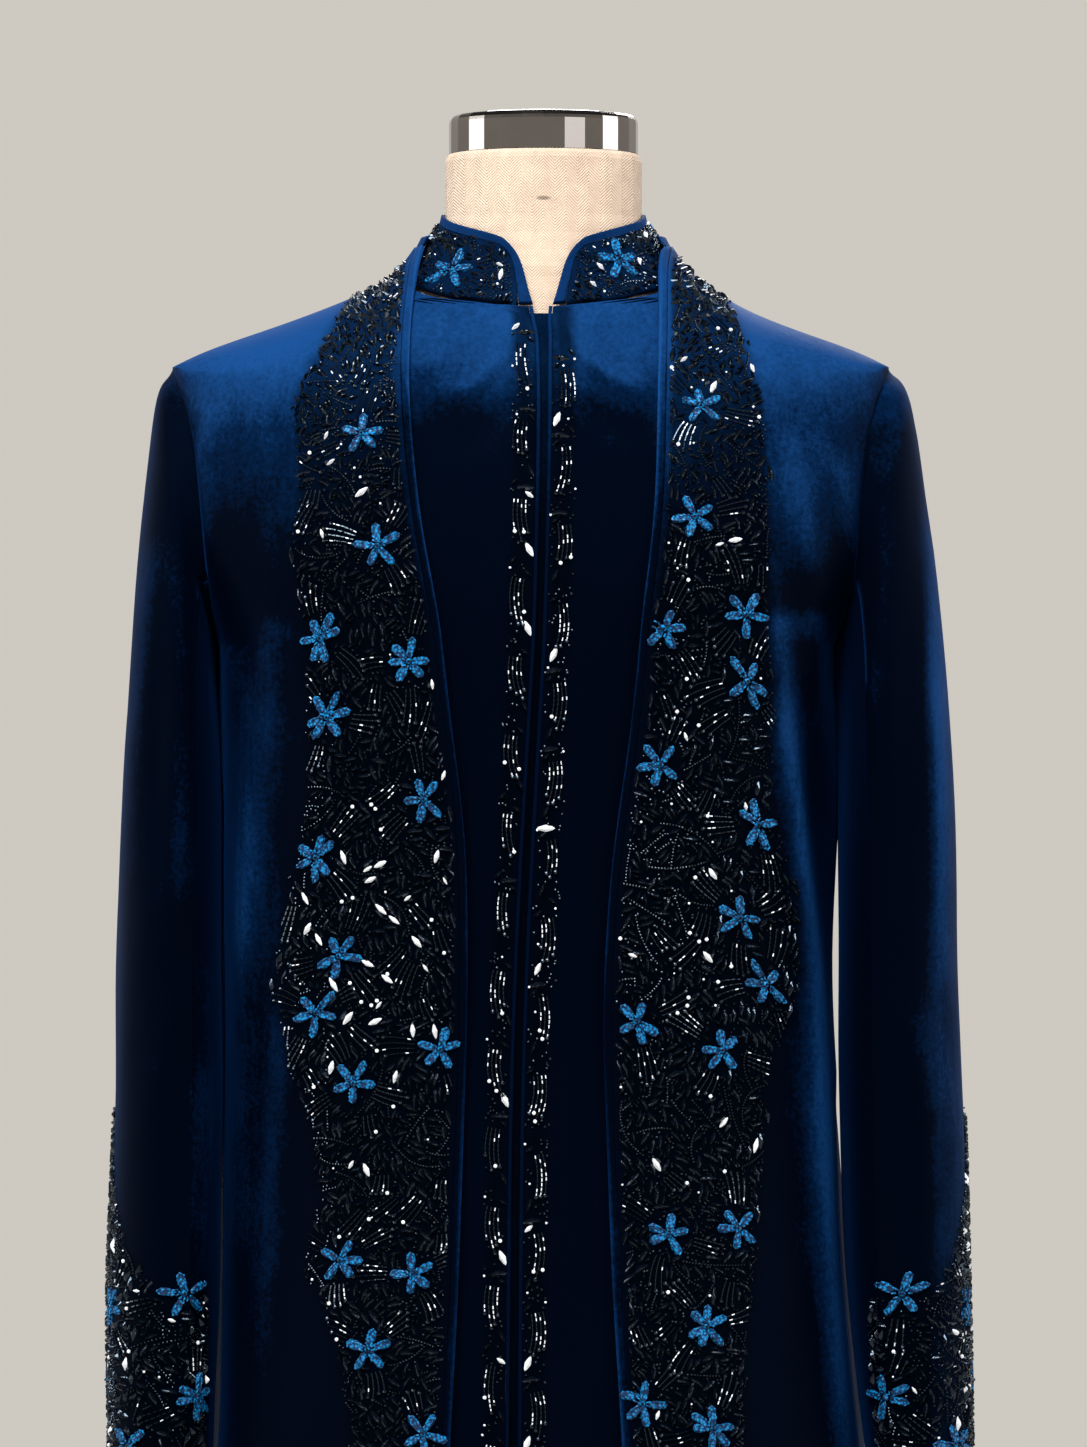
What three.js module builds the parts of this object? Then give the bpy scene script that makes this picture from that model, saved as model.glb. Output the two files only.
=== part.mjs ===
// A two-layer velvet sherwani on a dress form: a band-collar inner coat under an open over-coat with sleeves.
// Millimetres, +Z up, the front faces -Y. Left and right are the wearer's, so "right" lies at -X.
// The origin is the middle of the base's underside.
import * as THREE from "three";

// Cloth
const SEAM = 0.3;
const OVER_WALL = 1.6;
const INNER_WALL = 1.4;
const BAND_WALL = 2.2;
const RELIEF = 1.2;
const FLOWER_RADIUS = 14;

// Heights of the coats
const OVER_NECK = 1497;
const SHOULDER_TIP = 1422;
const UNDERARM = 1245;
const OVER_HEM = 430;
const INNER_HEM = 412;
const SHOULDER_ROWS = [1485, 1478, 1471, 1464, 1457, 1448, 1440, 1431];

// Half the armhole's width, front to back
const ARMHOLE_HALF = 70;
const INNER_ARMHOLE_HALF = 74;

// Bands and collar
const EDGE_BAND = 5;
const PIPING = 2.2;
const NECK_BAND_HEIGHT = 6;
const COLLAR_HEIGHT = 38;
const COLLAR_CORNER = 14;
const COLLAR_SLANT = 0.36;
const COLLAR_OPENING = { right: -6.4, left: 5.8 };
const COLLAR_SIDE_SHARE = 0.85;
const COLLAR_BINDING = 4.5;
const COLLAR_STEP = 0.8;
const COLLAR_LEAN = 3.5;
const NECK_GIRTH_RADIUS = 73;

// Dress form
const NECK_RADIUS = 61.5;
const NECK_TOP = 1555;
const CAP_RADIUS = 59;
const CAP_HEIGHT = 26;
const TORSO_BOTTOM = 782;
const POLE_RADIUS = 16;
const CHEST_HOLLOW = 3.2;
const CHEST_HOLLOW_SPREAD = 0.3;
const BASE_RADIUS = 190;
const BASE_HEIGHT = 18;
const BASE_RIM = 8;
const HUB_RADIUS = 34;
const HUB_TOP = 30;
const CAP_ROUNDING = 5;

// The over-coat's outer surface: its middle, half width, front and back depth, and how square the section is.
const COAT = [
  { z: 1545, mid: 0, half: 70.5, front: 71, back: 71, square: 2 },
  { z: 1515, mid: 0, half: 71.5, front: 71, back: 72, square: 2 },
  { z: 1502, mid: 0, half: 77.5, front: 71.5, back: 76, square: 2 },
  { z: 1490, mid: 0, half: 84, front: 73, back: 80, square: 2 },
  { z: 1474, mid: 0, half: 99, front: 77, back: 88, square: 2 },
  { z: 1463, mid: -4, half: 122, front: 81, back: 93, square: 2.1 },
  { z: 1453, mid: -7, half: 144, front: 84, back: 97, square: 2.2 },
  { z: 1440, mid: -8, half: 181, front: 88, back: 103, square: 2.4 },
  { z: 1430, mid: -8, half: 209, front: 91, back: 107, square: 2.6 },
  { z: 1422, mid: -8, half: 224, front: 94, back: 110, square: 2.7 },
  { z: 1380, mid: -8, half: 223, front: 108, back: 118, square: 2.9 },
  { z: 1340, mid: -7, half: 220, front: 117, back: 122, square: 3 },
  { z: 1290, mid: -8, half: 207, front: 121, back: 121, square: 3 },
  { z: 1245, mid: -11, half: 190.5, front: 119, back: 117, square: 2.9 },
  { z: 1180, mid: -8.8, half: 190.5, front: 114, back: 108, square: 2.8 },
  { z: 1120, mid: -9.3, half: 189.8, front: 109, back: 101, square: 2.7 },
  { z: 1027, mid: -10.1, half: 188.6, front: 104, back: 95, square: 2.6 },
  { z: 977, mid: -8.4, half: 190.3, front: 102, back: 97, square: 2.6 },
  { z: 933, mid: -8.2, half: 191, front: 105, back: 104, square: 2.6 },
  { z: 870, mid: -7.2, half: 192.8, front: 112, back: 114, square: 2.5 },
  { z: 808, mid: -5.1, half: 195.9, front: 120, back: 121, square: 2.5 },
  { z: 748, mid: -2.5, half: 200.7, front: 129, back: 129, square: 2.4 },
  { z: 640, mid: -2, half: 214, front: 142, back: 143, square: 2.3 },
  { z: 520, mid: -2, half: 230, front: 154, back: 156, square: 2.3 },
  { z: 412, mid: -2, half: 243, front: 164, back: 167, square: 2.3 },
];

// How far the inner coat lies inside the over-coat, and the torso inside both.
const LAYERS = [
  { z: 1545, inner: 2.4, torso: 9 },
  { z: 1471, inner: 2.4, torso: 9 },
  { z: 1457, inner: 2.4, torso: 7.2 },
  { z: 1448, inner: 2.4, torso: 5.2 },
  { z: 1431, inner: 2.4, torso: 5.4 },
  { z: 1422, inner: 2.7, torso: 8.6 },
  { z: 1412, inner: 3.2, torso: 10 },
  { z: 1380, inner: 4.8, torso: 12 },
  { z: 1245, inner: 6, torso: 15 },
  { z: 977, inner: 6.5, torso: 16 },
  { z: 870, inner: 6.5, torso: 22 },
  { z: 800, inner: 6.5, torso: 33 },
  { z: 782, inner: 6.5, torso: 46 },
];

// Long folds: where they lie round the coat, how far they stand out at the hem, and where they start.
const FOLDS = [
  { degrees: -64, depth: 8, spread: 8, top: 1000 },
  { degrees: -79, depth: 9, spread: 6, top: 760 },
  { degrees: -97, depth: 11, spread: 6, top: 750 },
  { degrees: -116, depth: 14, spread: 8, top: 985 },
  { degrees: -138, depth: 9, spread: 7, top: 940 },
  { degrees: -160, depth: 13, spread: 8, top: 1000 },
  { degrees: 178, depth: 8, spread: 6, top: 930 },
  { degrees: 154, depth: 14, spread: 8, top: 1010 },
  { degrees: 130, depth: 10, spread: 7, top: 960 },
  { degrees: 110, depth: 13, spread: 7, top: 900 },
  { degrees: 92, depth: 10, spread: 6, top: 745 },
  { degrees: 76, depth: 10, spread: 7, top: 770 },
  { degrees: 58, depth: 7, spread: 8, top: 960 },
];

// Soft upright creases below the underarms, and the broad swells of the back that the sleeves hang against.
const DRAGS = [
  { degrees: 60, depth: 3.6, spread: 6, low: 940, high: 1215 },
  { degrees: -58, depth: 3.2, spread: 6, low: 980, high: 1205 },
  { degrees: 121, depth: 3.6, spread: 6, low: 950, high: 1215 },
  { degrees: -125, depth: 3.4, spread: 6, low: 990, high: 1210 },
  { degrees: -114, depth: 10, spread: 10, low: 640, high: 1236 },
  { degrees: 114, depth: 8.5, spread: 10, low: 1050, high: 1236 },
  { degrees: 114, depth: 9.5, spread: 10, low: 640, high: 1010 },
];

// The over-coat's two front edges, from the neck to the hem.
const OVER_EDGES = [
  { z: 1497, right: -75, left: 74 },
  { z: 1486, right: -78, left: 72 },
  { z: 1410, right: -82.5, left: 70 },
  { z: 1336, right: -76.5, left: 68 },
  { z: 1260, right: -63, left: 59.5 },
  { z: 1202, right: -57, left: 55 },
  { z: 1153, right: -49.5, left: 46.5 },
  { z: 1110, right: -46, left: 41 },
  { z: 1027, right: -46.5, left: 36.3 },
  { z: 940, right: -49, left: 39 },
  { z: 854, right: -52, left: 42 },
  { z: 759, right: -57, left: 48 },
  { z: 600, right: -62, left: 54 },
  { z: 412, right: -66, left: 58 },
];

// The line where the inner coat's fronts meet, and half the gap between them.
const PLACKET = [
  { z: 1462, x: -1.5, gap: 5.6 },
  { z: 1450, x: -1.6, gap: 4.2 },
  { z: 1440, x: 0, gap: 3.2 },
  { z: 1400, x: 0.5, gap: 2.4 },
  { z: 1275, x: -2, gap: 2.3 },
  { z: 1001, x: -16, gap: 2.5 },
  { z: 759, x: -18.5, gap: 2.8 },
  { z: 412, x: -20, gap: 3.2 },
];
const PLACKET_STRIP = 15;

// The underlap that closes the opening from behind: how far it reaches to each side of that line.
const UNDERLAP = [
  { z: 1449, right: 11, left: 11 },
  { z: 1400, right: 13, left: 13 },
  { z: 905, right: 13, left: 15 },
  { z: 872, right: 0.9, left: 15 },
  { z: 760, right: 0.6, left: 15 },
  { z: 412, right: 0.4, left: 15 },
];
const UNDERLAP_WALL = 1.2;

// The seam between the inner coat and its collar, with straight stretches between these places.
const NECK_SEAM = [
  { degrees: 5, z: 1457 },
  { degrees: 32, z: 1464 },
  { degrees: 52, z: 1471 },
  { degrees: 70, z: 1478 },
  { degrees: 90, z: 1485 },
];

// The outer border of the beaded field on each front.
const FIELDS = [
  { z: 1497, right: -100, left: 96 },
  { z: 1455, right: -125, left: 118 },
  { z: 1400, right: -153, left: 134 },
  { z: 1335, right: -150, left: 139 },
  { z: 1301, right: -155, left: 137 },
  { z: 1264, right: -147, left: 137 },
  { z: 1214, right: -144, left: 142 },
  { z: 1153, right: -144, left: 139 },
  { z: 1091, right: -158, left: 158 },
  { z: 1040, right: -167, left: 159 },
  { z: 993, right: -156, left: 139 },
  { z: 956, right: -144, left: 137 },
  { z: 907, right: -137, left: 133 },
  { z: 870, right: -147, left: 130 },
  { z: 826, right: -128, left: 124 },
  { z: 770, right: -118, left: 122 },
  { z: 640, right: -122, left: 120 },
  { z: 520, right: -138, left: 132 },
  { z: 412, right: -146, left: 140 },
];

// The blue flowers sewn on the fronts.
const FLOWERS = [
  { x: -111, z: 1377 },
  { x: -101, z: 1308 },
  { x: -136, z: 1252 },
  { x: -82, z: 1238 },
  { x: -132, z: 1204 },
  { x: -73, z: 1154 },
  { x: -139, z: 1118 },
  { x: -125, z: 1058 },
  { x: -139, z: 1023 },
  { x: -63, z: 1001 },
  { x: -116, z: 980 },
  { x: -124, z: 872 },
  { x: -80, z: 864 },
  { x: -107, z: 818 },
  { x: -73, z: 768 },
  { x: -112, z: 700 },
  { x: -84, z: 640 },
  { x: -124, z: 575 },
  { x: -90, z: 510 },
  { x: -128, z: 462 },
  { x: 96, z: 1394 },
  { x: 92, z: 1326 },
  { x: 73, z: 1258 },
  { x: 123, z: 1267 },
  { x: 124, z: 1226 },
  { x: 71, z: 1175 },
  { x: 131, z: 1138 },
  { x: 120, z: 1081 },
  { x: 136, z: 1040 },
  { x: 57, z: 1018 },
  { x: 109, z: 1000 },
  { x: 76, z: 888 },
  { x: 119, z: 891 },
  { x: 99, z: 832 },
  { x: 60, z: 786 },
  { x: 103, z: 771 },
  { x: 72, z: 706 },
  { x: 108, z: 655 },
  { x: 76, z: 590 },
  { x: 118, z: 530 },
  { x: 84, z: 470 },
];

// Each sleeve as rings that turn from the armhole's plane to level: the outermost and the
// innermost point, half the depth, how far the ring's middle lies forward, and how square it is.
const SLEEVES = {
  right: [
    { step: 0, outX: -232.4, outZ: 1422, inX: -202.2, inZ: 1245, depth: 70, forward: 0, square: 2 },
    { step: 1, outX: -239.5, outZ: 1413, inX: -203.2, inZ: 1243.5, depth: 73, forward: 0, square: 2 },
    { step: 2, outX: -243.5, outZ: 1397, inX: -203.4, inZ: 1242, depth: 75, forward: 0, square: 2.1 },
    { step: 3, outX: -247, outZ: 1366, inX: -203.6, inZ: 1240, depth: 77, forward: 0, square: 2.1 },
    { step: 4, outX: -251, outZ: 1325, inX: -203.8, inZ: 1238, depth: 78, forward: 0, square: 2.2 },
    { step: 5, outX: -255, outZ: 1280, inX: -203.8, inZ: 1235.5, depth: 79, forward: 0, square: 2.3 },
    { step: 6, outX: -258.5, outZ: 1236, inX: -203.8, inZ: 1233, depth: 79, forward: 0, square: 2.3 },
    { step: 8, outX: -263, outZ: 1150, inX: -200.8, inZ: 1150, depth: 78, forward: 0, square: 2.4 },
    { step: 10, outX: -266.5, outZ: 1060, inX: -200.3, inZ: 1060, depth: 75, forward: 4, square: 2.4 },
    { step: 12, outX: -266.5, outZ: 965, inX: -200.3, inZ: 965, depth: 70, forward: 10, square: 2.4 },
    { step: 14, outX: -269, outZ: 870, inX: -201.4, inZ: 870, depth: 63, forward: 17, square: 2.3 },
    { step: 16, outX: -269.5, outZ: 790, inX: -203, inZ: 790, depth: 58, forward: 23, square: 2.3 },
    { step: 17.4, outX: -269, outZ: 734, inX: -205.4, inZ: 734, depth: 56, forward: 26, square: 2.3 },
  ],
  left: [
    { step: 0, outX: 216.4, outZ: 1422, inX: 180.2, inZ: 1245, depth: 70, forward: 0, square: 2 },
    { step: 1, outX: 224, outZ: 1416, inX: 181.2, inZ: 1243.5, depth: 73, forward: 0, square: 2 },
    { step: 2, outX: 229.7, outZ: 1404, inX: 181.6, inZ: 1242, depth: 75, forward: 0, square: 2.1 },
    { step: 3, outX: 234.7, outZ: 1374, inX: 182, inZ: 1240, depth: 77, forward: 0, square: 2.1 },
    { step: 4, outX: 240, outZ: 1333, inX: 182.2, inZ: 1238, depth: 78, forward: 0, square: 2.2 },
    { step: 5, outX: 245.5, outZ: 1286, inX: 182.4, inZ: 1235.5, depth: 79, forward: 0, square: 2.3 },
    { step: 6, outX: 250.5, outZ: 1236, inX: 182.4, inZ: 1233, depth: 79, forward: 0, square: 2.3 },
    { step: 8, outX: 256.5, outZ: 1150, inX: 183.2, inZ: 1150, depth: 78, forward: 0, square: 2.4 },
    { step: 10, outX: 259.5, outZ: 1060, inX: 183.4, inZ: 1060, depth: 75, forward: 4, square: 2.4 },
    { step: 12, outX: 261, outZ: 965, inX: 183.2, inZ: 965, depth: 70, forward: 10, square: 2.4 },
    { step: 14, outX: 263, outZ: 870, inX: 187, inZ: 870, depth: 63, forward: 17, square: 2.3 },
    { step: 16, outX: 264.5, outZ: 790, inX: 194.4, inZ: 790, depth: 58, forward: 23, square: 2.3 },
    { step: 17.4, outX: 265, outZ: 734, inX: 201.4, inZ: 734, depth: 56, forward: 26, square: 2.3 },
  ],
};
const SLEEVE_SEAM = (2 * Math.PI) / 3;
const CUFF_PEAK = 962;
const CUFF_FALL = 117;
const CUFF_REACH = 1.6;

// Folds across each sleeve: where down the sleeve, where round it, and how far they stand out.
const SLEEVE_FOLDS = [
  { step: 7.6, round: 0.9, depth: 2.6, length: 0.55, width: 0.7 },
  { step: 9.3, round: -1.2, depth: 3, length: 0.5, width: 0.8 },
  { step: 10.8, round: 1.5, depth: 3.2, length: 0.45, width: 0.7 },
  { step: 12.1, round: -0.8, depth: 2.4, length: 0.5, width: 0.8 },
  { step: 4.4, round: -1.1, depth: 2.2, length: 0.6, width: 0.6 },
  { step: 5.2, round: 1.2, depth: 2.4, length: 0.7, width: 0.5 },
];

// The dress form's neck above the shoulders.
const FORM_NECK = [
  { z: NECK_TOP, half: NECK_RADIUS - 2.4, front: NECK_RADIUS - 2.4, back: NECK_RADIUS - 2.4 },
  { z: NECK_TOP - 2, half: NECK_RADIUS - 0.6, front: NECK_RADIUS - 0.6, back: NECK_RADIUS - 0.6 },
  { z: NECK_TOP - 5, half: NECK_RADIUS, front: NECK_RADIUS, back: NECK_RADIUS },
  { z: 1515, half: NECK_RADIUS, front: NECK_RADIUS, back: NECK_RADIUS },
  { z: 1503, half: 63.3, front: 61.8, back: 63 },
  { z: 1492, half: 68, front: 63.4, back: 66.5 },
  { z: 1482, half: 77, front: 66.4, back: 73.5 },
];

const velvet = { color: 0x0b1c3f, roughness: 0.85, metalness: 0 };
const trim = { color: 0x0a1733, roughness: 0.7, metalness: 0 };
const linen = { color: 0xb9a88c, roughness: 0.9, metalness: 0 };
const chrome = { color: 0xd0d0d2, roughness: 0.15, metalness: 1 };
const steel = { color: 0x8c8e92, roughness: 0.35, metalness: 1 };

const radians = THREE.MathUtils.degToRad;
const { clamp, lerp, smoothstep } = THREE.MathUtils;

// A value from a table's column, on a smooth curve that never overshoots its rows.
function read(table, place, column, by = "z") {
  const last = table.length - 1;
  const rising = table[last][by] > table[0][by];
  const before = (a, b) => (rising ? a <= b : a >= b);
  if (before(place, table[0][by])) return table[0][column];
  if (before(table[last][by], place)) return table[last][column];
  let i = 0;
  while (!before(place, table[i + 1][by])) i += 1;
  const chord = (k) => (table[k + 1][column] - table[k][column]) / (table[k + 1][by] - table[k][by]);
  const slope = (k) => {
    if (k === 0) return chord(0);
    if (k === last) return chord(last - 1);
    const a = chord(k - 1);
    const b = chord(k);
    return a * b <= 0 ? 0 : (2 * a * b) / (a + b);
  };
  const gap = table[i + 1][by] - table[i][by];
  const t = (place - table[i][by]) / gap;
  const start = table[i][column] * (2 * t ** 3 - 3 * t ** 2 + 1) + gap * slope(i) * (t ** 3 - 2 * t ** 2 + t);
  const end = table[i + 1][column] * (3 * t ** 2 - 2 * t ** 3) + gap * slope(i + 1) * (t ** 3 - t ** 2);
  return start + end;
}

const bell = (distance, spread) => Math.exp(-((distance / spread) ** 2));

// The shortest way round from one angle to another.
const apart = (a, b) => Math.abs(Math.atan2(Math.sin(a - b), Math.cos(a - b)));

// How far the folds move the cloth out at a place.
function folds(angle, z) {
  let out = 0;
  for (const fold of FOLDS) {
    if (z >= fold.top) continue;
    const fallen = (fold.top - z) / (fold.top - INNER_HEM);
    out += fold.depth * fallen ** 1.25 * bell(apart(angle, radians(fold.degrees)), radians(fold.spread));
  }
  for (const drag of DRAGS) {
    const along = smoothstep(z, drag.low, drag.low + 120) * (1 - smoothstep(z, drag.high - 90, drag.high));
    out += drag.depth * along * bell(apart(angle, radians(drag.degrees)), radians(drag.spread));
  }
  return out;
}

// A point of the over-coat's outer surface: the angle runs from the front round by the left side.
function coat(angle, z, folded = true) {
  const square = read(COAT, z, "square");
  const sine = Math.sin(angle);
  const cosine = Math.cos(angle);
  const reach = (Math.abs(sine) ** square + Math.abs(cosine) ** square) ** (-1 / square);
  const depth = read(COAT, z, cosine > 0 ? "front" : "back");
  const fold = folded ? folds(angle, z) : 0;
  const x = read(COAT, z, "mid") + (read(COAT, z, "half") + fold) * reach * sine;
  return new THREE.Vector3(x, -(depth + fold) * reach * cosine, z);
}

// The outward direction of a surface given as a function of two numbers.
function facing(surface, a, b, stepA, stepB) {
  const across = surface(a + stepA, b).sub(surface(a - stepA, b));
  const along = surface(a, b + stepB).sub(surface(a, b - stepB));
  return across.cross(along).normalize();
}

function offCoat(angle, z, lift, folded = true) {
  const surface = (a, b) => coat(a, b, folded);
  return coat(angle, z, folded).addScaledVector(facing(surface, angle, z, 0.02, 1.5), lift);
}

// The angle at which the front of the coat has a given x.
function angleOfX(x, z) {
  const square = read(COAT, z, "square");
  const across = clamp((x - read(COAT, z, "mid")) / read(COAT, z, "half"), -0.9999, 0.9999);
  return Math.atan2(across, (1 - Math.abs(across) ** square) ** (1 / square));
}

// The angle at which the coat is a given distance before or behind its side.
function angleOfDepth(side, inFront, distance, z) {
  const square = read(COAT, z, "square");
  const ratio = clamp(distance / read(COAT, z, inFront ? "front" : "back"), 0, 0.99);
  const angle = Math.atan2((1 - ratio ** square) ** (1 / square), ratio);
  return side * (inFront ? angle : Math.PI - angle);
}

// The angle that a length along the cloth takes up.
function spanAngle(angle, z, length) {
  return length / (coat(angle + 0.01, z).distanceTo(coat(angle - 0.01, z)) / 0.02);
}

// Where a panel ends at its side: the shoulder seam, the armhole or the side seam.
function sideAngle(side, inFront, z, layer) {
  const { tip, low, half } = layer;
  let angle = (side * Math.PI) / 2;
  if (z < tip && z > low) {
    const height = clamp((z - (tip + low) / 2) / ((tip - low) / 2), -1, 1);
    angle = angleOfDepth(side, inFront, half * Math.sqrt(1 - height ** 2), z);
  }
  const towards = inFront ? -side : side;
  return angle + towards * spanAngle(angle, z, SEAM / 2);
}

const OVER = { tip: SHOULDER_TIP, low: UNDERARM, half: ARMHOLE_HALF };
const INNER = { tip: SHOULDER_TIP, low: UNDERARM, half: INNER_ARMHOLE_HALF };

// Heights of a coat's rows: the shoulder, evenly round the armhole, then down to the hem.
function coatRows(top, down) {
  const rows = [...top, ...SHOULDER_ROWS.slice(1)];
  const round = 9;
  for (let i = 0; i <= round; i += 1) {
    rows.push((SHOULDER_TIP + UNDERARM) / 2 + ((SHOULDER_TIP - UNDERARM) / 2) * Math.cos((Math.PI * i) / round));
  }
  for (let i = 1; i <= down; i += 1) rows.push(lerp(UNDERARM, OVER_HEM, i / down));
  return rows;
}

const OVER_ROWS = coatRows([OVER_NECK, SHOULDER_ROWS[0]], 14);
const INNER_ROWS = [...coatRows([SHOULDER_ROWS[0] - 2], 7), INNER_HEM];

// A closed wall between an outer and an inner grid of points.
function wall(name, finish, columns, rows, outer, inner) {
  const points = [];
  for (const place of [outer, inner]) {
    for (let r = 0; r < rows; r += 1) {
      for (let c = 0; c < columns; c += 1) points.push(place(c, r));
    }
  }
  const at = (layer, c, r) => (layer * rows + r) * columns + c;
  const faces = [];
  const quad = (a, b, c, d) => faces.push(a, b, c, a, c, d);
  for (let r = 0; r < rows - 1; r += 1) {
    for (let c = 0; c < columns - 1; c += 1) {
      quad(at(0, c, r), at(0, c, r + 1), at(0, c + 1, r + 1), at(0, c + 1, r));
      quad(at(1, c, r), at(1, c + 1, r), at(1, c + 1, r + 1), at(1, c, r + 1));
    }
    const end = columns - 1;
    quad(at(0, 0, r), at(1, 0, r), at(1, 0, r + 1), at(0, 0, r + 1));
    quad(at(0, end, r), at(0, end, r + 1), at(1, end, r + 1), at(1, end, r));
  }
  for (let c = 0; c < columns - 1; c += 1) {
    const end = rows - 1;
    quad(at(0, c, 0), at(0, c + 1, 0), at(1, c + 1, 0), at(1, c, 0));
    quad(at(0, c, end), at(1, c, end), at(1, c + 1, end), at(0, c + 1, end));
  }
  return solid(name, finish, points, faces);
}

// A closed body of rings, each a list of points, shut at both ends by a fan.
function loft(name, finish, rings) {
  const count = rings[0].length;
  const points = rings.flat();
  const faces = [];
  for (let r = 0; r < rings.length - 1; r += 1) {
    for (let c = 0; c < count; c += 1) {
      const a = r * count + c;
      const b = r * count + ((c + 1) % count);
      faces.push(a, a + count, b + count, a, b + count, b);
    }
  }
  for (const r of [0, rings.length - 1]) {
    const middle = rings[r].reduce((sum, p) => sum.add(p), new THREE.Vector3()).divideScalar(count);
    points.push(middle);
    for (let c = 0; c < count; c += 1) {
      const a = r * count + c;
      const b = r * count + ((c + 1) % count);
      if (r === 0) faces.push(points.length - 1, a, b);
      else faces.push(points.length - 1, b, a);
    }
  }
  return solid(name, finish, points, faces);
}

// A named mesh whose faces point outwards.
function solid(name, finish, points, faces) {
  let volume = 0;
  for (let i = 0; i < faces.length; i += 3) {
    const [a, b, c] = [points[faces[i]], points[faces[i + 1]], points[faces[i + 2]]];
    volume += a.dot(b.clone().cross(c));
  }
  if (volume < 0) faces.reverse();
  const geometry = new THREE.BufferGeometry();
  geometry.setAttribute("position", new THREE.Float32BufferAttribute(points.flatMap((p) => p.toArray()), 3));
  geometry.setIndex(faces);
  geometry.computeVertexNormals();
  return named(name, finish, geometry);
}

function named(name, finish, geometry) {
  const mesh = new THREE.Mesh(geometry, new THREE.MeshStandardMaterial(finish));
  mesh.name = name;
  return mesh;
}

// A body turned about the upright axis from a profile of radius and height.
function turned(name, finish, profile) {
  const points = profile.map(([radius, height]) => new THREE.Vector2(radius, height));
  const mesh = named(name, finish, new THREE.LatheGeometry(points, 28));
  mesh.rotation.x = Math.PI / 2;
  return mesh;
}

// How far the beadwork and its flowers stand out of a front panel.
function beading(side, point) {
  const name = side < 0 ? "right" : "left";
  const toEdge = Math.abs(point.x - read(OVER_EDGES, point.z, name)) - EDGE_BAND;
  const toBorder = Math.abs(read(FIELDS, point.z, name)) - Math.abs(point.x);
  if (point.y > 0) return 0;
  const field = RELIEF * smoothstep(Math.min(toEdge + 6, toBorder), 0, 10);
  let flower = 0;
  for (const { x, z } of FLOWERS) {
    const distance = Math.hypot(point.x - x, point.z - z);
    flower = Math.max(flower, 1 - (distance / FLOWER_RADIUS) ** 2);
  }
  return field + RELIEF * flower;
}

// The angles of a front's columns in one row, from beside its edge band to its side.
function overAngle(side, z, share) {
  const name = side < 0 ? "right" : "left";
  const edge = angleOfX(read(OVER_EDGES, z, name) + side * (EDGE_BAND + SEAM), z);
  return lerp(edge, sideAngle(side, true, z, OVER), share);
}

function overFront(side) {
  const name = side < 0 ? "right" : "left";
  const columns = 10;
  const angleAt = (c, r) => overAngle(side, OVER_ROWS[r], c / (columns - 1));
  const outer = (c, r) => {
    const angle = angleAt(c, r);
    return offCoat(angle, OVER_ROWS[r], beading(side, coat(angle, OVER_ROWS[r])));
  };
  const inner = (c, r) => offCoat(angleAt(c, r), OVER_ROWS[r], -OVER_WALL);
  return wall("over_front_" + name, velvet, columns, OVER_ROWS.length, outer, inner);
}

// A back panel of either coat, from the left side round to the right.
function back(name, layer, rows, outerLift, innerLift) {
  const columns = 15;
  const place = (lift) => (c, r) => {
    const z = rows[r];
    const left = sideAngle(1, false, z, layer);
    const right = sideAngle(-1, false, z, layer) + 2 * Math.PI;
    return offCoat(lerp(left, right, c / (columns - 1)), z, lift(z));
  };
  return wall(name, velvet, columns, rows.length, place(outerLift), place(innerLift));
}

// The plain band that finishes the over-coat's front edge.
function overEdge(side) {
  const name = side < 0 ? "right" : "left";
  const angleAt = (c, r) => {
    const z = OVER_ROWS[r];
    return angleOfX(read(OVER_EDGES, z, name) + side * c * EDGE_BAND, z);
  };
  const place = (lift) => (c, r) => offCoat(angleAt(c, r), OVER_ROWS[r], lift);
  const outside = BAND_WALL - OVER_WALL;
  return wall("over_edge_" + name, trim, 2, OVER_ROWS.length, place(outside), place(-OVER_WALL));
}

// The same band round the back of the neck, standing on the tops of the panels.
function neckBand() {
  const columns = 25;
  const start = angleOfX(read(OVER_EDGES, OVER_NECK, "left"), OVER_NECK);
  const end = angleOfX(read(OVER_EDGES, OVER_NECK, "right"), OVER_NECK) + 2 * Math.PI;
  const heights = [OVER_NECK + SEAM, OVER_NECK + NECK_BAND_HEIGHT / 2, OVER_NECK + NECK_BAND_HEIGHT];
  const place = (lift) => (c, r) => {
    const point = coat(lerp(start, end, c / (columns - 1)), heights[r]);
    const out = new THREE.Vector3(point.x, point.y, 0).normalize();
    return point.addScaledVector(out, lift);
  };
  return wall("over_neck_band", trim, columns, heights.length, place(0), place(-OVER_WALL));
}

// Height of the seam between the inner coat and its collar.
function neckSeam(angle) {
  const degrees = THREE.MathUtils.radToDeg(Math.abs(Math.atan2(Math.sin(angle), Math.cos(angle))));
  const last = NECK_SEAM.length - 1;
  if (degrees <= NECK_SEAM[0].degrees) return NECK_SEAM[0].z;
  if (degrees >= NECK_SEAM[last].degrees) return NECK_SEAM[last].z;
  const i = NECK_SEAM.findIndex((row, k) => degrees <= NECK_SEAM[k + 1].degrees);
  const share = (degrees - NECK_SEAM[i].degrees) / (NECK_SEAM[i + 1].degrees - NECK_SEAM[i].degrees);
  return lerp(NECK_SEAM[i].z, NECK_SEAM[i + 1].z, share);
}

// Where the inner front starts in a row: at the opening, or above it at the neck seam.
function placketAngle(side, z, shift) {
  return angleOfX(read(PLACKET, z, "x") + side * (read(PLACKET, z, "gap") + shift), z);
}

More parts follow.
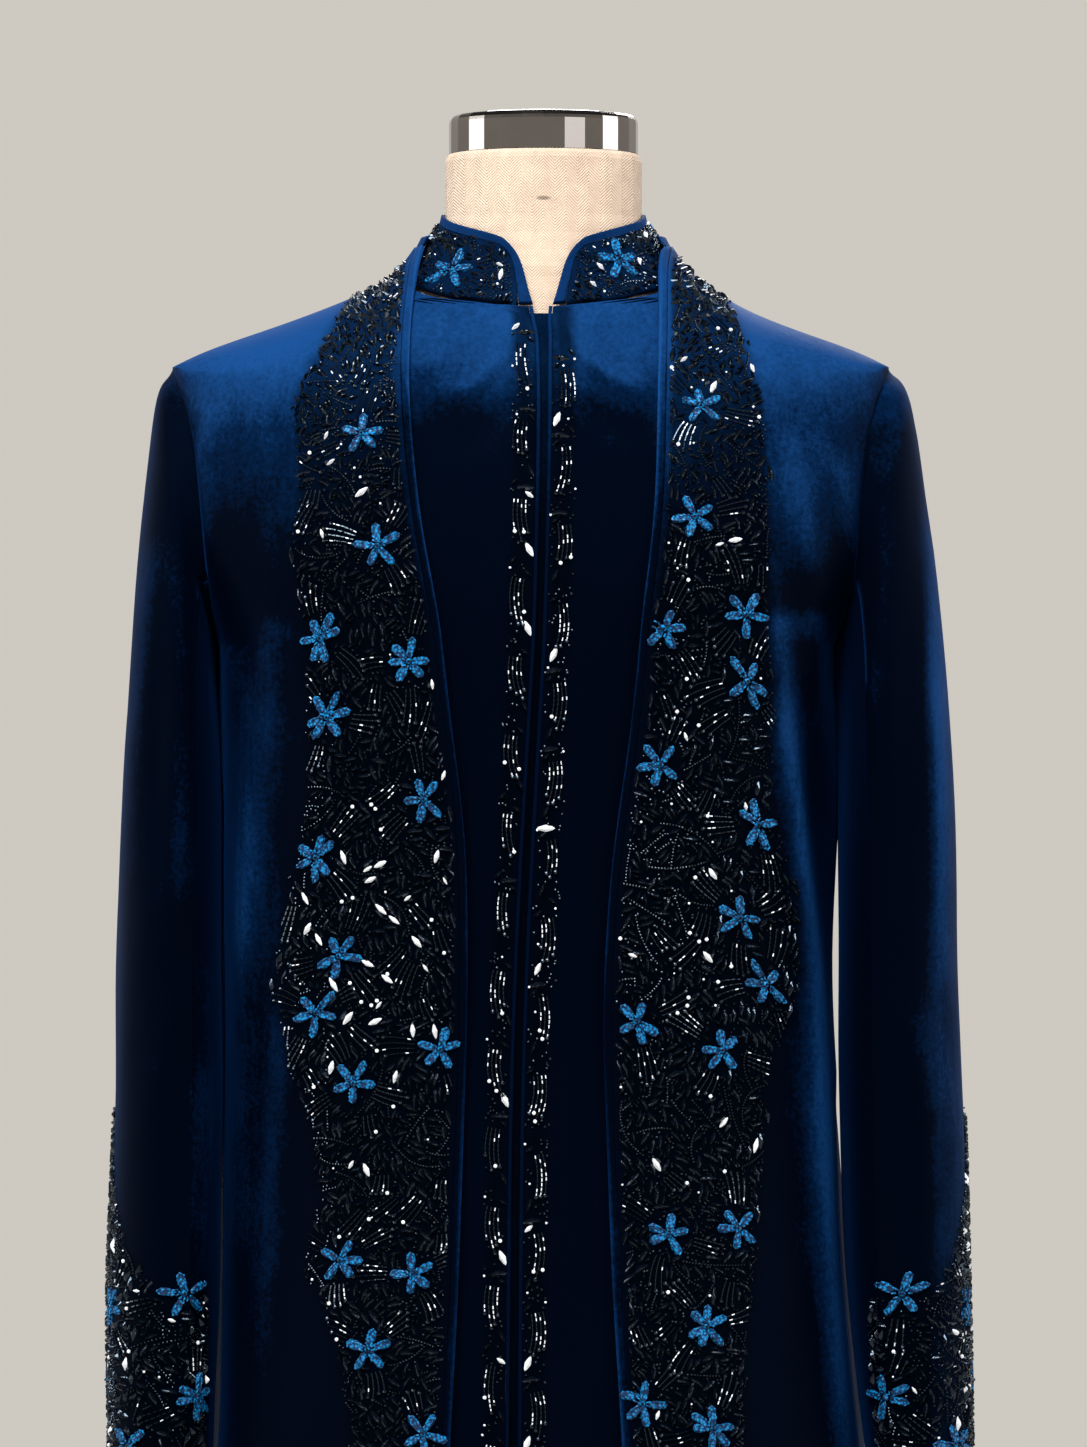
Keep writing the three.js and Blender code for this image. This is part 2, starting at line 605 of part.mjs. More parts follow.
function innerStart(side, z) {
  const lowest = NECK_SEAM[0].z;
  if (z <= lowest) return placketAngle(side, z, PIPING + SEAM);
  const i = NECK_SEAM.findIndex((row, k) => z <= NECK_SEAM[k + 1].z);
  const share = (z - NECK_SEAM[i].z) / (NECK_SEAM[i + 1].z - NECK_SEAM[i].z);
  return side * radians(lerp(NECK_SEAM[i].degrees, NECK_SEAM[i + 1].degrees, share));
}

function innerFront(side) {
  const name = side < 0 ? "right" : "left";
  const places = [0, 0.07, 0.14, 0.22, 0.31, 0.41, 0.51, 0.61, 0.71, 0.81, 0.91, 1];
  const angleAt = (c, r) => {
    const z = INNER_ROWS[r];
    return lerp(innerStart(side, z), sideAngle(side, true, z, INNER), places[c]);
  };
  const below = (r) => INNER_ROWS[r] - (INNER_ROWS[r] >= NECK_SEAM[0].z ? SEAM : 0);
  const outer = (c, r) => {
    const z = below(r);
    const angle = angleAt(c, r);
    const across = Math.abs(coat(angle, z).x - read(PLACKET, z, "x"));
    const strip = 0.8 * (1 - smoothstep(across, PLACKET_STRIP - 3, PLACKET_STRIP + 3));
    const seated = z < NECK_SEAM[0].z - 1 ? strip : 0;
    return offCoat(angle, z, seated - read(LAYERS, z, "inner"));
  };
  const inner = (c, r) => offCoat(angleAt(c, r), below(r), -read(LAYERS, below(r), "inner") - INNER_WALL);
  return wall("inner_front_" + name, velvet, places.length, INNER_ROWS.length, outer, inner);
}

function innerBack() {
  const rows = [SHOULDER_ROWS[0] - SEAM, ...INNER_ROWS.slice(1)];
  const outside = (z) => -read(LAYERS, z, "inner");
  return back("inner_back", INNER, rows, outside, (z) => outside(z) - INNER_WALL);
}

// A piping along the edge of the front opening.
function placketPiping(side) {
  const name = side < 0 ? "right" : "left";
  const heights = INNER_ROWS.filter((z) => z <= NECK_SEAM[0].z).map((z) => Math.min(z, NECK_SEAM[0].z - SEAM));
  const place = (lift) => (c, r) => {
    const angle = placketAngle(side, heights[r], c * PIPING);
    return offCoat(angle, heights[r], lift - read(LAYERS, heights[r], "inner"));
  };
  return wall("placket_piping_" + name, trim, 2, heights.length, place(0.8), place(-INNER_WALL));
}

// The strip behind the opening, just inside the inner fronts.
function underlap() {
  const top = UNDERLAP[0].z;
  const heights = [top, ...INNER_ROWS.filter((z) => z < top)];
  const columns = 3;
  const place = (depth) => (c, r) => {
    const z = heights[r];
    const middle = read(PLACKET, z, "x");
    const x = lerp(middle - read(UNDERLAP, z, "right"), middle + read(UNDERLAP, z, "left"), c / (columns - 1));
    return offCoat(angleOfX(x, z), z, -read(LAYERS, z, "inner") - INNER_WALL - depth);
  };
  return wall("placket_underlap", velvet, columns, heights.length, place(SEAM), place(SEAM + UNDERLAP_WALL));
}

// The collar's ends, and the lengths round the neck at which it has columns.
const COLLAR_START = radians(6);
const COLLAR_END = radians(6);
const COLLAR_LENGTH = NECK_GIRTH_RADIUS * (2 * Math.PI - COLLAR_START - COLLAR_END);
const roundNeck = (degrees) => NECK_GIRTH_RADIUS * (radians(degrees) - COLLAR_START);
const COLLAR_MIDDLE = [32, 52, 70, 90, 112, 135, 158, 180, 202, 225, 248, 270, 290, 308, 328].map(roundNeck);

// The angle of a place on the collar, whose two ends slant away from each other as they rise.
const SLANT_FADE = 62;
function slanted(level, length, height, z) {
  const fromRight = COLLAR_LENGTH - length;
  const leftEnd = angleOfX(COLLAR_OPENING.left + COLLAR_SLANT * height, z) - COLLAR_START;
  const rightEnd = angleOfX(COLLAR_OPENING.right - COLLAR_SLANT * height, z) + COLLAR_END;
  const leftShare = 1 - smoothstep(length, 0, SLANT_FADE);
  const rightShare = 1 - smoothstep(fromRight, 0, SLANT_FADE);
  return level + leftEnd * leftShare + rightEnd * rightShare;
}

// A point of the band collar: the length round the neck from its left end, and the height above its seam.
function collarPoint(length, height, lift) {
  const level = COLLAR_START + length / NECK_GIRTH_RADIUS;
  const up = height * lerp(1, COLLAR_SIDE_SHARE, smoothstep(1 - Math.cos(level), 0.15, 0.8));
  const above = (angle) => neckSeam(angle) + COLLAR_STEP + 2 * SEAM + up;
  const angle = slanted(level, length, height, above(level));
  const z = above(angle);
  const inset = read(LAYERS, z, "inner") + COLLAR_STEP + (COLLAR_LEAN * height) / COLLAR_HEIGHT;
  const point = coat(angle, z, false);
  const outwards = new THREE.Vector3(point.x, point.y, 0).normalize();
  const slope = facing((a, b) => coat(a, b, false), angle, z, 0.02, 1.5);
  const out = slope.lerp(outwards, clamp(height / 14, 0, 1)).normalize();
  return point.addScaledVector(out, lift - inset);
}

function collar() {
  const inset = COLLAR_BINDING + SEAM;
  const corner = [inset, 6.5, 8.5, 11, COLLAR_CORNER];
  const lengths = [...corner, ...COLLAR_MIDDLE, ...[...corner].reverse().map((length) => COLLAR_LENGTH - length)];
  const top = (length) => {
    const fromEnd = Math.min(length, COLLAR_LENGTH - length);
    const short = Math.max(0, COLLAR_CORNER - fromEnd);
    const arc = Math.sqrt(Math.max(0, (COLLAR_CORNER - inset) ** 2 - short ** 2));
    return COLLAR_HEIGHT - COLLAR_CORNER + arc;
  };
  const rows = 4;
  const place = (lift) => (c, r) => collarPoint(lengths[c], (top(lengths[c]) * r) / (rows - 1), lift);
  const outer = (c, r) => place(r === 0 || r === rows - 1 ? 0 : 0.7)(c, r);
  return wall("band_collar", velvet, lengths.length, rows, outer, place(-INNER_WALL));
}

// The plain binding along the collar's ends and its top.
function collarBinding() {
  const straight = COLLAR_HEIGHT - COLLAR_CORNER;
  const corner = [];
  for (let i = 0; i <= 5; i += 1) corner.push((Math.PI / 2) * (i / 5));
  const rises = [0, straight / 3, (2 * straight) / 3];
  const path = rises.map((height) => ({ length: 0, height, turn: 0 }));
  for (const turn of corner) path.push({ length: COLLAR_CORNER, height: straight, turn, round: true });
  for (const length of COLLAR_MIDDLE) path.push({ length, height: COLLAR_HEIGHT, turn: Math.PI / 2 });
  for (const turn of [...corner].reverse()) {
    path.push({ length: COLLAR_LENGTH - COLLAR_CORNER, height: straight, turn: Math.PI - turn, round: true });
  }
  for (const height of rises.reverse()) path.push({ length: COLLAR_LENGTH, height, turn: Math.PI });
  const place = (lift) => (c, r) => {
    const { length, height, turn, round } = path[c];
    const inward = r * COLLAR_BINDING;
    const radius = round ? COLLAR_CORNER - inward : -inward;
    return collarPoint(length - Math.cos(turn) * radius, height + Math.sin(turn) * radius, lift);
  };
  return wall("collar_binding", trim, path.length, 2, place(0.5), place(-INNER_WALL));
}

// A point of a sleeve's outer surface: how far down it, and the angle round from its outermost line to the front.
function sleeve(side, step, round) {
  const rings = SLEEVES[side < 0 ? "right" : "left"];
  const value = (column) => read(rings, step, column, "step");
  const square = value("square");
  const sine = Math.sin(round);
  const cosine = Math.cos(round);
  const reach = (Math.abs(sine) ** square + Math.abs(cosine) ** square) ** (-1 / square);
  let fold = 0;
  for (const crease of SLEEVE_FOLDS) {
    const near = bell(apart(round, side * crease.round), crease.width);
    fold += crease.depth * near * bell(step - crease.step, crease.length);
  }
  const midX = (value("outX") + value("inX")) / 2;
  const midZ = (value("outZ") + value("inZ")) / 2;
  const halfX = (value("outX") - value("inX")) / 2;
  const halfZ = (value("outZ") - value("inZ")) / 2;
  const inwards = smoothstep(-cosine, -0.2, 0.6);
  const puff = fold * (1 - inwards);
  const point = new THREE.Vector3(
    midX + (halfX + side * puff * 0.6) * reach * cosine,
    -value("forward") - (value("depth") + puff) * reach * sine,
    midZ + halfZ * reach * cosine,
  );
  if (step < 1) {
    const angle = angleOfDepth(side, point.y < 0, Math.abs(point.y), point.z);
    const seat = coat(angle, point.z).x + side * 1.5 * SEAM;
    point.x = lerp(seat, point.x, step);
  }
  return point;
}

function sleevePiece(side, name, from, to, columns) {
  const steps = [0, 0.5, 1, 2, 3, 4.5, 6, 7.6, 9, 10.2, 11.5, 12.8, 14.2, 15.8, 17.4];
  const gap = SEAM / 2 / 60;
  const angles = [];
  for (let c = 0; c < columns; c += 1) angles.push(lerp(from + gap, to - gap, c / (columns - 1)));
  const outward = (step, round) => {
    const surface = (a, b) => sleeve(side, b, a);
    if (step === 0) return new THREE.Vector3(0, -Math.sin(round), Math.cos(round));
    const place = Math.min(step, 17.3);
    const normal = facing(surface, round, place, 0.02, 0.05);
    const rough = surface(round, place).sub(surface(round + Math.PI, place));
    return normal.dot(rough) < 0 ? normal.negate() : normal;
  };
  const cuff = (step, round) => {
    const z = sleeve(side, step, round).z;
    const peak = CUFF_PEAK - CUFF_FALL * Math.min(1, apart(round, 0) / CUFF_REACH);
    return RELIEF * (1 - smoothstep(z, peak - 12, peak));
  };
  const inwards = (round) => smoothstep(-Math.cos(round), 0.2, 0.8);
  const outer = (c, r) => {
    const lift = cuff(steps[r], angles[c]) * (1 - inwards(angles[c]));
    return sleeve(side, steps[r], angles[c]).addScaledVector(outward(steps[r], angles[c]), lift);
  };
  const inner = (c, r) =>
    sleeve(side, steps[r], angles[c]).addScaledVector(outward(steps[r], angles[c]), -OVER_WALL);
  return wall(name, velvet, columns, steps.length, outer, inner);
}

function torso() {
  const count = 28;
  const angles = [];
  for (let i = 0; i < count; i += 1) angles.push((2 * Math.PI * i) / count);
  const rings = FORM_NECK.map(({ z, half, front, back }) =>
    angles.map((a) => new THREE.Vector3(half * Math.sin(a), -(Math.cos(a) > 0 ? front : back) * Math.cos(a), z)),
  );
  const heights = [...SHOULDER_ROWS.slice(1), SHOULDER_TIP, 1415, 1385, 1340, 1290, 1240, 1160, 1080, 1000, 930, 860, 808];
  const hollow = (a, z) => {
    const below = 1 - smoothstep(z, NECK_SEAM[0].z, NECK_SEAM[2].z);
    return CHEST_HOLLOW * below * bell(apart(a, 0), CHEST_HOLLOW_SPREAD);
  };
  for (const z of heights) {
    rings.push(angles.map((a) => offCoat(a, z, -read(LAYERS, z, "torso") - hollow(a, z), false)));
  }
  const low = angles.map((a) => offCoat(a, TORSO_BOTTOM, -read(LAYERS, TORSO_BOTTOM, "torso"), false));
  low.forEach((point) => point.setZ(TORSO_BOTTOM));
  rings.push(low);
  return loft("form_torso", linen, rings);
}

function formParts() {
  const capBottom = NECK_TOP + SEAM;
  const capTop = capBottom + CAP_HEIGHT;
  const cap = [[0, capBottom], [CAP_RADIUS, capBottom]];
  for (let i = 0; i <= 4; i += 1) {
    const turn = (Math.PI / 2) * (i / 4);
    const radius = CAP_RADIUS - CAP_ROUNDING * (1 - Math.cos(turn));
    cap.push([radius, capTop - 2 - CAP_ROUNDING * (1 - Math.sin(turn))]);
  }
  cap.push([CAP_RADIUS / 2, capTop - 0.5], [0, capTop]);
  const poleTop = TORSO_BOTTOM - SEAM;
  const pole = [[0, HUB_TOP + SEAM], [POLE_RADIUS, HUB_TOP + SEAM], [POLE_RADIUS, poleTop], [0, poleTop]];
  const base = [
    [0, 0],
    [BASE_RADIUS - 2, 0],
    [BASE_RADIUS, 2],
    [BASE_RADIUS, BASE_RIM],
    [BASE_RADIUS - 4, BASE_RIM + 3],
    [2 * HUB_RADIUS, BASE_HEIGHT],
    [HUB_RADIUS, BASE_HEIGHT + 2],
    [HUB_RADIUS - 4, HUB_TOP],
    [0, HUB_TOP],
  ];
  return [turned("form_cap", chrome, cap), turned("form_pole", steel, pole), turned("form_base", steel, base)];
}

const sherwani = new THREE.Group();
sherwani.add(overFront(-1), overFront(1));
sherwani.add(back("over_back", OVER, OVER_ROWS, () => 0, () => -OVER_WALL));
sherwani.add(overEdge(-1), overEdge(1), neckBand());
for (const side of [-1, 1]) {
  const name = side < 0 ? "right" : "left";
  sherwani.add(sleevePiece(side, "sleeve_top_" + name, -SLEEVE_SEAM, SLEEVE_SEAM, 13));
  sherwani.add(sleevePiece(side, "sleeve_under_" + name, SLEEVE_SEAM, 2 * Math.PI - SLEEVE_SEAM, 7));
}
sherwani.add(innerFront(-1), innerFront(1), innerBack());
sherwani.add(placketPiping(-1), placketPiping(1), underlap());
sherwani.add(collar(), collarBinding());
sherwani.add(torso(), ...formParts());

export default sherwani;
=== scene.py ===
"""A two-layer velvet sherwani on a linen dress form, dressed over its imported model.

Metres, +Z up, front at -Y. "Right" and "left" are the wearer's; a side of -1 is the wearer's right.
"""

import math
import random

import bmesh
import bpy
import numpy as np
from mathutils import Matrix, Vector, noise
from mathutils.bvhtree import BVHTree


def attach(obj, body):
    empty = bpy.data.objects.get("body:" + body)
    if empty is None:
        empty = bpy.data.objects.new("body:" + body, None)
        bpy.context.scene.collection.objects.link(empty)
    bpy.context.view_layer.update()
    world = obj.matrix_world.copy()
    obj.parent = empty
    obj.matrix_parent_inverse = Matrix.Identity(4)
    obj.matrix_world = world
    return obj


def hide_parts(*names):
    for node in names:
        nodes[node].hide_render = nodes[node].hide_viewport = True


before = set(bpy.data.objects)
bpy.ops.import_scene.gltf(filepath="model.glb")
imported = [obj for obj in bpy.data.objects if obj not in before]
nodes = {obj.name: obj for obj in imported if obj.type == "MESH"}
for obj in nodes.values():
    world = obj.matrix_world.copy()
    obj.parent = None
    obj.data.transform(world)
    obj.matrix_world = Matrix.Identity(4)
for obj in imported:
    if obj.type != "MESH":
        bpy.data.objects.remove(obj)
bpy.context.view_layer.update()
scene = bpy.context.scene

MM = 0.001


# Materials

class Finish:
    """A material under construction: its shader, and short ways to add the nodes that feed it."""

    def __init__(self, name, **sockets):
        self.material = bpy.data.materials.new(name)
        self.material.use_nodes = True
        self.tree = self.material.node_tree
        self.shader = self.tree.nodes["Principled BSDF"]
        for socket, value in sockets.items():
            self.shader.inputs[socket.replace("_", " ")].default_value = value
        self.place = self.add("ShaderNodeTexCoord").outputs["Object"]

    def add(self, kind, numbers=None, **settings):
        node = self.tree.nodes.new(kind)
        for key, value in settings.items():
            setattr(node, key, value)
        for socket, number in (numbers or {}).items():
            node.inputs[socket].default_value = number
        return node

    def join(self, out, node, socket):
        self.tree.links.new(out, node.inputs[socket])

    def mapped(self, scale):
        node = self.add("ShaderNodeMapping", {"Scale": scale})
        self.join(self.place, node, "Vector")
        return node.outputs["Vector"]

    def noise(self, scale, detail=3, rough=0.55, stretch=(1, 1, 1)):
        node = self.add("ShaderNodeTexNoise", {"Scale": scale, "Detail": detail, "Roughness": rough})
        self.join(self.mapped(stretch), node, "Vector")
        return node.outputs["Fac"]

    def cells(self, scale):
        node = self.add("ShaderNodeTexVoronoi", {"Scale": scale})
        self.join(self.place, node, "Vector")
        return node.outputs["Distance"]

    def part(self, vector, axis):
        """One of a vector's three numbers."""
        node = self.add("ShaderNodeSeparateXYZ")
        self.join(vector, node, "Vector")
        return node.outputs[axis]

    def height(self):
        return self.part(self.place, "Z")

    def tilt(self):
        """How far the surface looks up: the height of its outward direction."""
        return self.part(self.add("ShaderNodeNewGeometry").outputs["Normal"], "Z")

    def herringbone(self, width, pitch):
        """Slanting threads that turn back at every width across the cloth."""
        zigzag = self.math("PINGPONG", self.part(self.place, "X"), width)
        along = self.math("ADD", self.height(), zigzag)
        return self.math("SINE", self.math("MULTIPLY", along, math.tau / pitch), 0)

    def mixed(self, colour, other, amount, blend="MIX"):
        node = self.add("ShaderNodeMix", {7: (*other, 1)}, data_type="RGBA", blend_type=blend)
        self.join(amount, node, "Factor")
        self.join(colour, node, 6)
        return node.outputs[2]

    def marked(self, colour, place, shape, radius, mark):
        """The colour, with a small soft mark at a place; its shape is how much each axis is squeezed."""
        middle = [number * squeeze for number, squeeze in zip(place, shape)]
        node = self.add("ShaderNodeVectorMath", {1: middle}, operation="DISTANCE")
        self.join(self.mapped(shape), node, 0)
        return self.mixed(colour, mark, self.span(node.outputs["Value"], radius, 2 * radius, 0.8, 0.0))

    def ramp(self, value, *stops):
        node = self.add("ShaderNodeValToRGB")
        while len(node.color_ramp.elements) < len(stops):
            node.color_ramp.elements.new(0.5)
        for element, (position, colour) in zip(node.color_ramp.elements, stops):
            element.position = position
            element.color = (*colour, 1)
        self.join(value, node, "Fac")
        return node.outputs["Color"]

    def span(self, value, low, high, to_low, to_high):
        ends = {"From Min": low, "From Max": high, "To Min": to_low, "To Max": to_high}
        node = self.add("ShaderNodeMapRange", ends)
        self.join(value, node, "Value")
        return node.outputs["Result"]

    def own(self, name):
        """A number that the piece carries at each of its vertices."""
        return self.add("ShaderNodeAttribute", attribute_name=name).outputs["Fac"]

    def darkened(self, colour, amount, least):
        """The colour, multiplied down to a least share of itself as the amount goes from 0 to 1."""
        return self.mixed(colour, (least, least, least), amount, "MULTIPLY")

    def sum(self, *terms):
        """Several numbers, each times its own factor, added up."""
        total = 0.0
        for value, factor in terms:
            total = self.math("ADD", self.math("MULTIPLY", value, factor), total)
        return total

    def math(self, operation, a, b):
        node = self.add("ShaderNodeMath", operation=operation)
        for index, value in enumerate((a, b)):
            if isinstance(value, (int, float)):
                node.inputs[index].default_value = value
            else:
                self.join(value, node, index)
        return node.outputs["Value"]

    def colour(self, out):
        self.join(out, self.shader, "Base Color")

    def roughness(self, out):
        self.join(out, self.shader, "Roughness")

    def relief(self, *heights):
        """Bumps in a chain, each a height, its depth in metres and its strength."""
        before = None
        for height, depth, strength in heights:
            node = self.add("ShaderNodeBump", {"Distance": depth, "Strength": strength})
            self.join(height, node, "Height")
            if before is not None:
                self.join(before, node, "Normal")
            before = node.outputs["Normal"]
        self.join(before, self.shader, "Normal")


# The velvet's painted light grows no more past this tilt; how dark its painted light is on the whole; what
# the painted shade under the beads leaves of its colour
MOST_TILT = 0.33
VELVET_LEVEL = -0.43
SHADE_UNDER_BEADS = 0.22


def velvet_finish(name, dark, middle, light, sheen):
    """Navy velvet with painted light: near black upright, a painted blue highlight where the cloth looks up,
    on the shoulders and where a crease stands out, and painted shade under the beads.
    """
    finish = Finish(
        name,
        Specular_IOR_Level=0.06,
        Specular_Tint=(0.05, 0.35, 1.0, 1),
        Sheen_Weight=sheen,
        Sheen_Roughness=0.35,
        Sheen_Tint=(0.01, 0.14, 0.6, 1),
    )
    patches = finish.noise(9, 4, 0.6, (1, 1, 0.7))
    streaks = finish.noise(150, 3, 0.6, (1, 1, 0.14))
    mottle = finish.noise(330, 4, 0.75)
    # Painted light: paler higher on the shoulders and where the cloth looks up, plus the painted light and
    # shade that each piece carries
    shoulders = finish.span(finish.height(), 1.38, 1.435, -0.15, 0.05)
    tilt = finish.math("MINIMUM", finish.tilt(), MOST_TILT)
    terms = [(tilt, 0.85), (patches, 0.42), (streaks, 0.14), (mottle, 0.36)]
    lie = finish.sum(*terms, (finish.own("painted_light"), 0.28), (shoulders, 1.0), (VELVET_LEVEL, 1.0))
    # The painted light picks the velvet's blue, from shade to highlight, and the painted shade under the
    # beads darkens it
    pile = finish.ramp(lie, (-0.02, dark), (0.15, middle), (0.44, light))
    finish.colour(finish.darkened(pile, finish.own("bead_shade"), SHADE_UNDER_BEADS))
    finish.roughness(finish.span(patches, 0.3, 0.7, 0.8, 0.65))
    finish.relief((patches, 0.0016, 0.35), (streaks, 0.0004, 0.3), (finish.noise(1500, 2, 0.5), 0.00025, 0.4))
    return finish.material


def bead_finish(name, colour, roughness, gloss, painted_glow=0.0):
    """Cut glass with a cold gloss; the silver-lined beads glow a little, a painted glint."""
    finish = Finish(
        name,
        Specular_IOR_Level=gloss,
        Specular_Tint=(0.62, 0.8, 1.0, 1),
        Emission_Color=(1, 1, 1, 1),
        Emission_Strength=painted_glow,
    )
    finish.colour(finish.ramp(finish.noise(240, 2), (0.3, [c * 0.6 for c in colour]), (0.7, colour)))
    finish.roughness(finish.span(finish.noise(500, 2), 0.3, 0.7, roughness * 0.7, roughness * 1.4))
    finish.relief((finish.cells(700), 0.0003, 0.3))
    return finish.material


def petal_finish(name, between, face):
    """Small cut beads laid close: each face bright, and dark where they meet."""
    finish = Finish(name, Specular_IOR_Level=0.3)
    facets = finish.cells(520)
    finish.colour(finish.ramp(facets, (0.27, face), (0.60, between)))
    finish.roughness(finish.span(facets, 0.2, 0.7, 0.3, 0.7))
    finish.relief((facets, 0.0006, 0.6))
    return finish.material


LINEN_MARK = {
    "place": (0.0, -0.0615, 1.524),
    "shape": (0.5, 1, 1.6),
    "radius": 1.4 * MM,
    "mark": (0.16, 0.13, 0.11),
}


def linen_finish():
    finish = Finish("linen canvas", Specular_IOR_Level=0.3, Sheen_Weight=0.15)
    weave = finish.herringbone(7 * MM, 1.9 * MM)
    slubs = finish.noise(110, 3, 0.6)
    clouds = finish.noise(14, 3, 0.5)
    tone = finish.sum((weave, 0.16), (slubs, 0.5), (clouds, 0.5))
    cloth_tone = finish.ramp(tone, (0.2, (0.50, 0.37, 0.27)), (0.7, (0.76, 0.59, 0.46)))
    finish.colour(finish.marked(cloth_tone, **LINEN_MARK))
    finish.roughness(finish.span(slubs, 0.3, 0.7, 0.95, 0.82))
    finish.relief((slubs, 0.0006, 0.4), (weave, 0.0003, 0.6))
    return finish.material


def metal_finish(name, colour, roughness, grain):
    finish = Finish(name, Metallic=1.0, Specular_IOR_Level=0.5)
    smears = finish.noise(30, 4, 0.6)
    finish.colour(finish.ramp(smears, (0.3, [c * 0.9 for c in colour]), (0.7, colour)))
    finish.roughness(finish.span(finish.noise(60, 5, 0.7), 0.3, 0.75, roughness * 0.7, roughness * 1.5))
    finish.relief((finish.noise(400, 2, 0.5, (1, 1, 8)), 0.00005, grain))
    return finish.material


# Each velvet's blue in painted shade, half lit and in painted highlight
VELVET_SHADE_TO_HIGHLIGHT = ((0.0001, 0.0006, 0.003), (0.0005, 0.008, 0.034), (0.006, 0.046, 0.17))
BINDING_SHADE_TO_HIGHLIGHT = ((0.0003, 0.0025, 0.012), (0.0006, 0.009, 0.038), (0.003, 0.024, 0.095))
FINISHES = {
    "velvet": velvet_finish("navy silk velvet", *VELVET_SHADE_TO_HIGHLIGHT, 0.10),
    "trim": velvet_finish("navy satin binding", *BINDING_SHADE_TO_HIGHLIGHT, 0.15),
    "beads": bead_finish("gunmetal beads", (0.002, 0.004, 0.008), 0.09, 0.5),
    # The silver-lined beads: white, partly their own colour and partly a painted glint, with a painted glow
    "stones": bead_finish("silver-lined beads", (0.92, 0.95, 1.0), 0.25, 0.8, 0.3),
    "petals": petal_finish("blue cut beads", (0.0, 0.02, 0.08), (0.001, 0.25, 0.60)),
    "linen": linen_finish(),
    "chrome": metal_finish("polished chrome", (0.22, 0.20, 0.19), 0.10, 0.1),
    "steel": metal_finish("brushed steel", (0.46, 0.47, 0.49), 0.3, 0.35),
}


def finished(piece, slot):
    """The piece with its slot's finish, riding on the part's one body."""
    piece.data.materials.clear()
    piece.data.materials.append(FINISHES[slot])
    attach(piece, "root")
    return piece


def in_scene(name, data):
    """A new object in the scene from a mesh, a light or a camera."""
    item = bpy.data.objects.new(name, data)
    scene.collection.objects.link(item)
    return item


def new_piece(name, shape):
    """A new object in the scene from a bmesh, which is freed."""
    mesh = bpy.data.meshes.new(name)
    shape.to_mesh(mesh)
    shape.free()
    return in_scene(name, mesh)


# Creases: the lines they follow as (x, z), how far they stand out (or in), and half their width

def bell(distance, spread):
    return math.exp(-((distance / spread) ** 2))


def ramped(value):
    return min(1.0, max(0.0, value))


def gentle(value, low, high):
    """0 below the low end, 1 above the high one, and a smooth step between them."""
    share = ramped((value - low) / (high - low))
    return share * share * (3 - 2 * share)


FRONT_CREASES = [
    (
        [
            (0.138, 1.30), (0.146, 1.21), (0.157, 1.12), (0.166, 1.03),
            (0.176, 0.87), (0.182, 0.79), (0.187, 0.70),
        ],
        0.0065,
        0.007,
    ),
    ([(0.160, 1.25), (0.168, 1.17), (0.176, 1.08), (0.181, 0.99)], -0.0022, 0.008),
    ([(0.150, 1.38), (0.161, 1.31), (0.172, 1.24)], 0.0022, 0.010),
    ([(0.186, 1.36), (0.188, 1.29), (0.181, 1.23)], 0.0026, 0.007),
    ([(-0.206, 1.40), (-0.209, 1.36), (-0.204, 1.30), (-0.190, 1.21)], 0.0028, 0.007),
    ([(-0.168, 1.33), (-0.166, 1.25), (-0.170, 1.14), (-0.176, 1.02)], 0.0032, 0.010),
    ([(-0.181, 1.22), (-0.183, 1.12), (-0.184, 1.0), (-0.188, 0.86)], 0.0042, 0.008),
    ([(-0.158, 1.10), (-0.163, 0.99), (-0.168, 0.86), (-0.172, 0.70)], 0.0030, 0.011),
    ([(-0.026, 1.425), (-0.045, 1.405), (-0.064, 1.402)], 0.0014, 0.008),
    ([(0.022, 1.43), (0.042, 1.412), (0.062, 1.405)], 0.0016, 0.008),
    ([(-0.025, 1.385), (-0.048, 1.372), (-0.070, 1.374)], -0.0012, 0.009),
    ([(0.020, 1.395), (0.045, 1.38), (0.066, 1.372)], -0.0012, 0.009),
    ([(-0.030, 1.30), (-0.034, 1.20), (-0.034, 1.08)], 0.0012, 0.010),
    ([(0.030, 1.25), (0.024, 1.12), (0.018, 0.98), (0.014, 0.84)], 0.0014, 0.010),
]
BACK_CREASES = [
    ([(0.0, 1.46), (0.002, 1.40), (-0.002, 1.33)], 0.0016, 0.016),
    ([(-0.150, 1.30), (-0.140, 1.21), (-0.118, 1.11), (-0.100, 1.02)], 0.0042, 0.012),
    ([(0.156, 1.29), (0.142, 1.20), (0.124, 1.09), (0.112, 0.98)], 0.0046, 0.012),
    ([(-0.172, 1.19), (-0.166, 1.08), (-0.160, 0.95)], 0.0034, 0.010),
    ([(0.176, 1.21), (0.171, 1.10), (0.168, 0.96)], 0.0036, 0.009),
    ([(-0.060, 1.07), (-0.020, 1.04), (0.030, 1.035), (0.070, 1.05)], 0.0030, 0.011),
    ([(-0.052, 1.03), (0.000, 0.995), (0.055, 1.005)], -0.0020, 0.010),
    ([(0.045, 0.96), (0.052, 0.84), (0.060, 0.70)], 0.0028, 0.014),
    ([(-0.050, 0.94), (-0.060, 0.82), (-0.066, 0.64)], 0.0025, 0.013),
]
